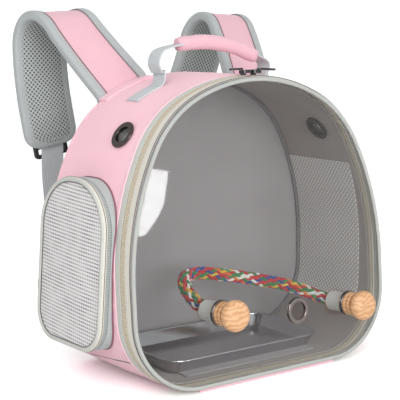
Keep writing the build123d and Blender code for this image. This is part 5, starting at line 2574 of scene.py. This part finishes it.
    def edge(self) -> None:
        """The binding round the strap, with its stitching."""
        tag = self.side.tag
        low, high = self.binding_reach
        ring = self.border(self.binding / 2 - 0.6 * MM, 3 * MM)
        stations = [Station(point, inward, out) for point, inward, out in ring]
        bm = strip(stations, lambda share: oval(self.binding / 2, low, high, 3.4, 24))
        finished(f"strap_binding_{tag}", bm, BOUND, None, "grey_webbing")
        for name, inset, finish in (
            ("seam", self.binding - 0.3 * MM, SHADE), ("stitches", self.binding - 3.0 * MM, SEWING)
        ):
            rows = []
            ring = self.border(inset, self.stitch_pitch if name == "stitches" else 2.2 * MM)
            for height, out_sign in ((low, -1), (high, 1)):
                lift = (0.75 * MM if name == "seam" else -0.05 * MM) * out_sign
                line = [point + out * (height - lift) for point, _, out in ring]
                if name == "seam":
                    rows.append(line)
                else:
                    rows += [(p, line[i + 1] - p, ring[i][2] * out_sign) for i, p in enumerate(line[:-1])]
            if name == "seam":
                for face, line in zip(("outer", "inner"), rows):
                    finished(f"strap_seam_{face}_{tag}", tube(line, lambda share: 0.4 * MM, 6), finish,
                             None, "grey_webbing")
            else:
                finished(f"strap_stitches_{tag}", stitches(rows), finish, None, "grey_webbing")

    def bend_at_root(self) -> None:
        """Keep the sewn root on the carrier and let the strap bend on from there as it swings."""
        tag = self.side.tag
        near, far = (
            Vector((self.side.value * self.root, depth, self.root_height)) for depth in self.root_bend
        )
        for part in ("cover", "air_mesh", "binding", "seam_outer", "seam_inner", "stitches"):
            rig.blend(bpy.data.objects[f"strap_{part}_{tag}"], "carrier", f"strap_{tag}", near, far)

    def box_stitches(self) -> None:
        """The crossed square that sews the webbing's end into the pad."""
        near, far = (self.length - reach for reach in self.box_reach)
        corners = [(near, -self.box_half), (far, -self.box_half), (far, self.box_half), (near, self.box_half)]
        rows = []
        for start, end in (*zip(corners, corners[1:] + corners[:1]), corners[::2], corners[1::2]):
            spots = []
            for share in steps(0, 1, self.stitch_pitch / dist(start, end)):
                station = self.station((start[0] + (end[0] - start[0]) * share) / self.length)
                lift = station.across * (start[1] + (end[1] - start[1]) * share) + station.out * self.mesh[1]
                spots.append((station.origin + lift, station.out))
            rows += [(a, b - a, out) for (a, out), (b, _) in zip(spots, spots[1:])]
        tag = self.side.tag
        finished(f"strap_box_stitches_{tag}", stitches(rows), SEWING, f"strap_{tag}", "grey_webbing")

    def lower(self) -> None:
        """The webbing from the pad's end to the anchor, and the keeper of the lock."""
        tag = self.side.tag
        end = self.station(1.0)
        along = end.across.cross(end.out)
        start = end.origin - end.out * 3 * MM + along * 0.3 * MM
        foot = Vector((self.side.value * self.foot[0], self.foot[1], self.foot[2]))
        route = [start - along * 6 * MM, start]
        for share, forward, down in self.hang:
            route.append(Vector((start.x + share * (foot.x - start.x), start.y - forward, start.z - down)))
        route.append(foot)
        line = through(route, 3 * MM)
        stations = along_line(line, lambda index: Vector((1, 0, 0)))
        half, thick = self.webbing / 2, self.thickness / 2
        bm = strip(stations, lambda share: oval(half, -thick, thick, 6.0, 20))
        finished(f"strap_webbing_{tag}", bm, STRAP, f"strap_{tag}", "grey_webbing", [f"lower_webbing_{tag}"])


@dataclass
class StrapSeats:
    """Where the straps are sewn: patches at the top and anchors at the foot of the back."""

    roots: Pair = (67 * MM, 87 * MM)
    patch_half: float = 26.4 * MM
    patch_depths: Pair = (59 * MM, 72 * MM)
    thickness: float = 1.6 * MM
    anchor_across: float = 100 * MM
    anchor_height: float = 24 * MM
    anchor_face: float = 72.1 * MM
    anchor_half: float = 14 * MM
    anchor_tip: float = 88 * MM
    tip_radius: float = 3 * MM
    anchor_thickness: float = 5 * MM

    def build(self) -> None:
        """Make the patches and the anchors."""
        group = new_group()
        for side, root in zip(Side, self.roots):
            spread = steps(root - self.patch_half, root + self.patch_half, 3 * MM)
            reach = [self.place_at(side.value * across) for across in spread]

            def place(s: float, y: float) -> Vector:
                return ARCH.at_depth(s, y, -self.thickness - 0.1 * MM)

            patch = turn_out(drape(reach, steps(*self.patch_depths, 3 * MM), place), middle_out)
            pour(group, wall(patch, self.thickness))
        finished("strap_patch_cloth", group, PINK, "carrier", "pink_fabric", ["strap_patches"])
        group = new_group()
        for side in Side:
            middle, low = side.value * self.anchor_across, self.anchor_height - self.anchor_thickness / 2
            corners = [Vector(
                (middle + half, self.anchor_face, low)
            ) for half in (-self.anchor_half, self.anchor_half)]
            for turn in steps(0, pi, pi / 6):
                corners.append(Vector((
                    middle + self.tip_radius * cos(turn),
                    self.anchor_tip + self.tip_radius * sin(turn), low,
                )))
            pour(group, slab(corners, Vector((0, 0, self.anchor_thickness)), 0.7 * MM))
        finished("strap_anchor_webbing", group, STRAP, "carrier", "grey_webbing", ["strap_anchors"])

    def place_at(self, across: float) -> float:
        """Place round the arch whose across is given, on the upper half.

        Args:
            across: Signed distance across.

        Returns:
            The place.
        """
        start = SHELL.s_at_height(0.2, 0.0)
        low = bisected(start, ARCH.half, 30, lambda s: ARCH.section(s, SHELL.back, 0.0)[0] > abs(across))[0]
        return low if across > 0 else 2 * ARCH.half - low


# ---- tray and studio
@dataclass
class Tray:
    """The lift-out steel tray with its rolled rim."""

    rim_half: Pair = (90.8 * MM, 50.3 * MM)
    middle: float = 8.5 * MM
    corner: float = 18.8 * MM
    rim_top: float = 21.6 * MM
    rim_radius: float = 1.2 * MM

    def build(self) -> None:
        """Dress the tray and roll its rim."""
        dress("tray", SHEET_STEEL, 0.4 * MM)
        wide, deep = (half - self.corner for half in self.rim_half)
        ring = []
        for start, x, y in ((0, wide, deep), (90, -wide, deep), (180, -wide, -deep), (270, wide, -deep)):
            for turn in steps(radians(start), radians(start + 90), pi / 16):
                ring.append(Vector((
                    x + self.corner * cos(turn), self.middle + y + self.corner * sin(turn),
                    self.rim_top - self.rim_radius,
                )))
        ring.append(ring[0])
        finished("tray_rolled_rim", loop_tube(ring, self.rim_radius, 10), SHEET_STEEL, "tray", "tray_steel")


@dataclass
class Studio:
    """A pale floor, soft lights and the camera."""

    floor: float = 6.0
    backdrop: float = 1.2  # brightness seen behind the carrier
    ambient: float = 0.7  # brightness that lights it from all round
    eye: tuple[float, float, float] = (-0.5719, -0.7635, 0.2912)
    right: tuple[float, float, float] = (0.8145, -0.5801, 0.0)
    up: tuple[float, float, float] = (0.0816, 0.1145, 0.9900)
    lens: float = 90.63
    sensor: float = 36.0

    def build(self) -> None:
        """Make the floor, the world, the lights and the camera."""
        bm = bmesh.new()
        bmesh.ops.create_grid(bm, x_segments=1, y_segments=1, size=self.floor)
        floor = placed("floor", as_mesh("floor", bm))
        floor.data.materials.append(FloorPaper().make())
        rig.stage(floor)
        world = bpy.data.worlds.new("studio")
        world.use_nodes = True
        tree = world.node_tree
        path = add(tree, "LightPath")
        extra = self.backdrop - self.ambient
        seen = add(tree, "Math", {"operation": "MULTIPLY", 1: extra}, {0: (path, "Is Camera Ray")})
        strength = add(tree, "Math", {"operation": "ADD", 1: self.ambient}, {0: seen})
        background = tree.nodes["Background"]
        background.inputs[0].default_value = (1.0, 1.0, 1.0, 1.0)
        tree.links.new(strength.outputs[0], background.inputs[1])
        bpy.context.scene.world = world
        bpy.context.scene.view_settings.view_transform = "Standard"
        target = Vector((0, 0, MIDDLE_HEIGHT))
        self.light("key", Vector((-1.1, -0.9, 0.9)), target, (0.8, 0.8), 7.5)
        self.light("fill", Vector((-0.25, -1.5, 0.45)), target, (0.7, 0.7), 13.0)
        self.light("back", Vector((0.2, 1.2, 1.2)), target, (1.0, 1.0), 1.5)
        self.light(
            "gleam", Vector((0.433, -1.13, 0.19)), Vector((-0.13, -0.07, 0.2)), (0.05, 0.17), 0.55, -14
        )
        self.camera()

    def light(
        self, name: str, place: Vector, target: Vector, size: Pair, power: float, roll: float = 0.0
    ) -> None:
        """Hang one area light.

        Args:
            name: Its name.
            place: Where.
            target: What it faces.
            size: Its width and height.
            power: Watts.
            roll: Degrees that it is turned about its beam.
        """
        data = bpy.data.lights.new(name, "AREA")
        data.shape = "RECTANGLE"
        data.size, data.size_y = size
        data.energy = power
        lamp = placed(name, data)
        beam = (place - target).to_track_quat("Z", "Y").to_matrix().to_4x4()
        lamp.matrix_world = Matrix.Translation(place) @ beam @ Matrix.Rotation(radians(roll), 4, "Z")
        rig.stage(lamp)

    def camera(self) -> None:
        """Set the camera."""
        data = bpy.data.cameras.new("camera")
        data.lens = self.lens
        data.sensor_width = self.sensor
        data.clip_start, data.clip_end = 0.05, 20.0
        eye = placed("camera", data)
        right, up = Vector(self.right).normalized(), Vector(self.up).normalized()
        turn = Matrix((right, up, right.cross(up))).transposed().to_4x4()
        eye.matrix_world = Matrix.Translation(Vector(self.eye)) @ turn
        bpy.context.scene.camera = eye


def main() -> None:
    """Build every sub-assembly in order."""
    logging.basicConfig(level=logging.INFO, format="%(message)s")
    bpy.context.view_layer.update()
    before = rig.bounds()
    SHELL.build()
    BackPanel().build()
    door = FrontDoor()
    door.build()
    Perch().build(door)
    ZipSliders().build()
    Eyelets().build(SHELL)
    for side in Side:
        SidePocket(side).build()
    TopHandle().build()
    ShoulderStrap(Side.LEFT, 67 * MM, 22, 92 * MM, 22 * MM, 77 * MM, 28 * MM, 142, 101 * MM).build()
    ShoulderStrap(Side.RIGHT, 87 * MM, 8, 68 * MM, 27 * MM, 80 * MM, 28 * MM, 132, 104 * MM).build()
    StrapSeats().build()
    Tray().build()
    Studio().build()
    bpy.context.view_layer.update()
    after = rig.bounds()
    sizes = {"frame": [list(corner) for corner in before], "scene": [list(corner) for corner in after]}
    with open("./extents.json", "w") as file:
        json.dump(sizes, file)
    LOG.info("frame %s, scene %s", *sizes.values())


if __name__ == "__main__":
    main()
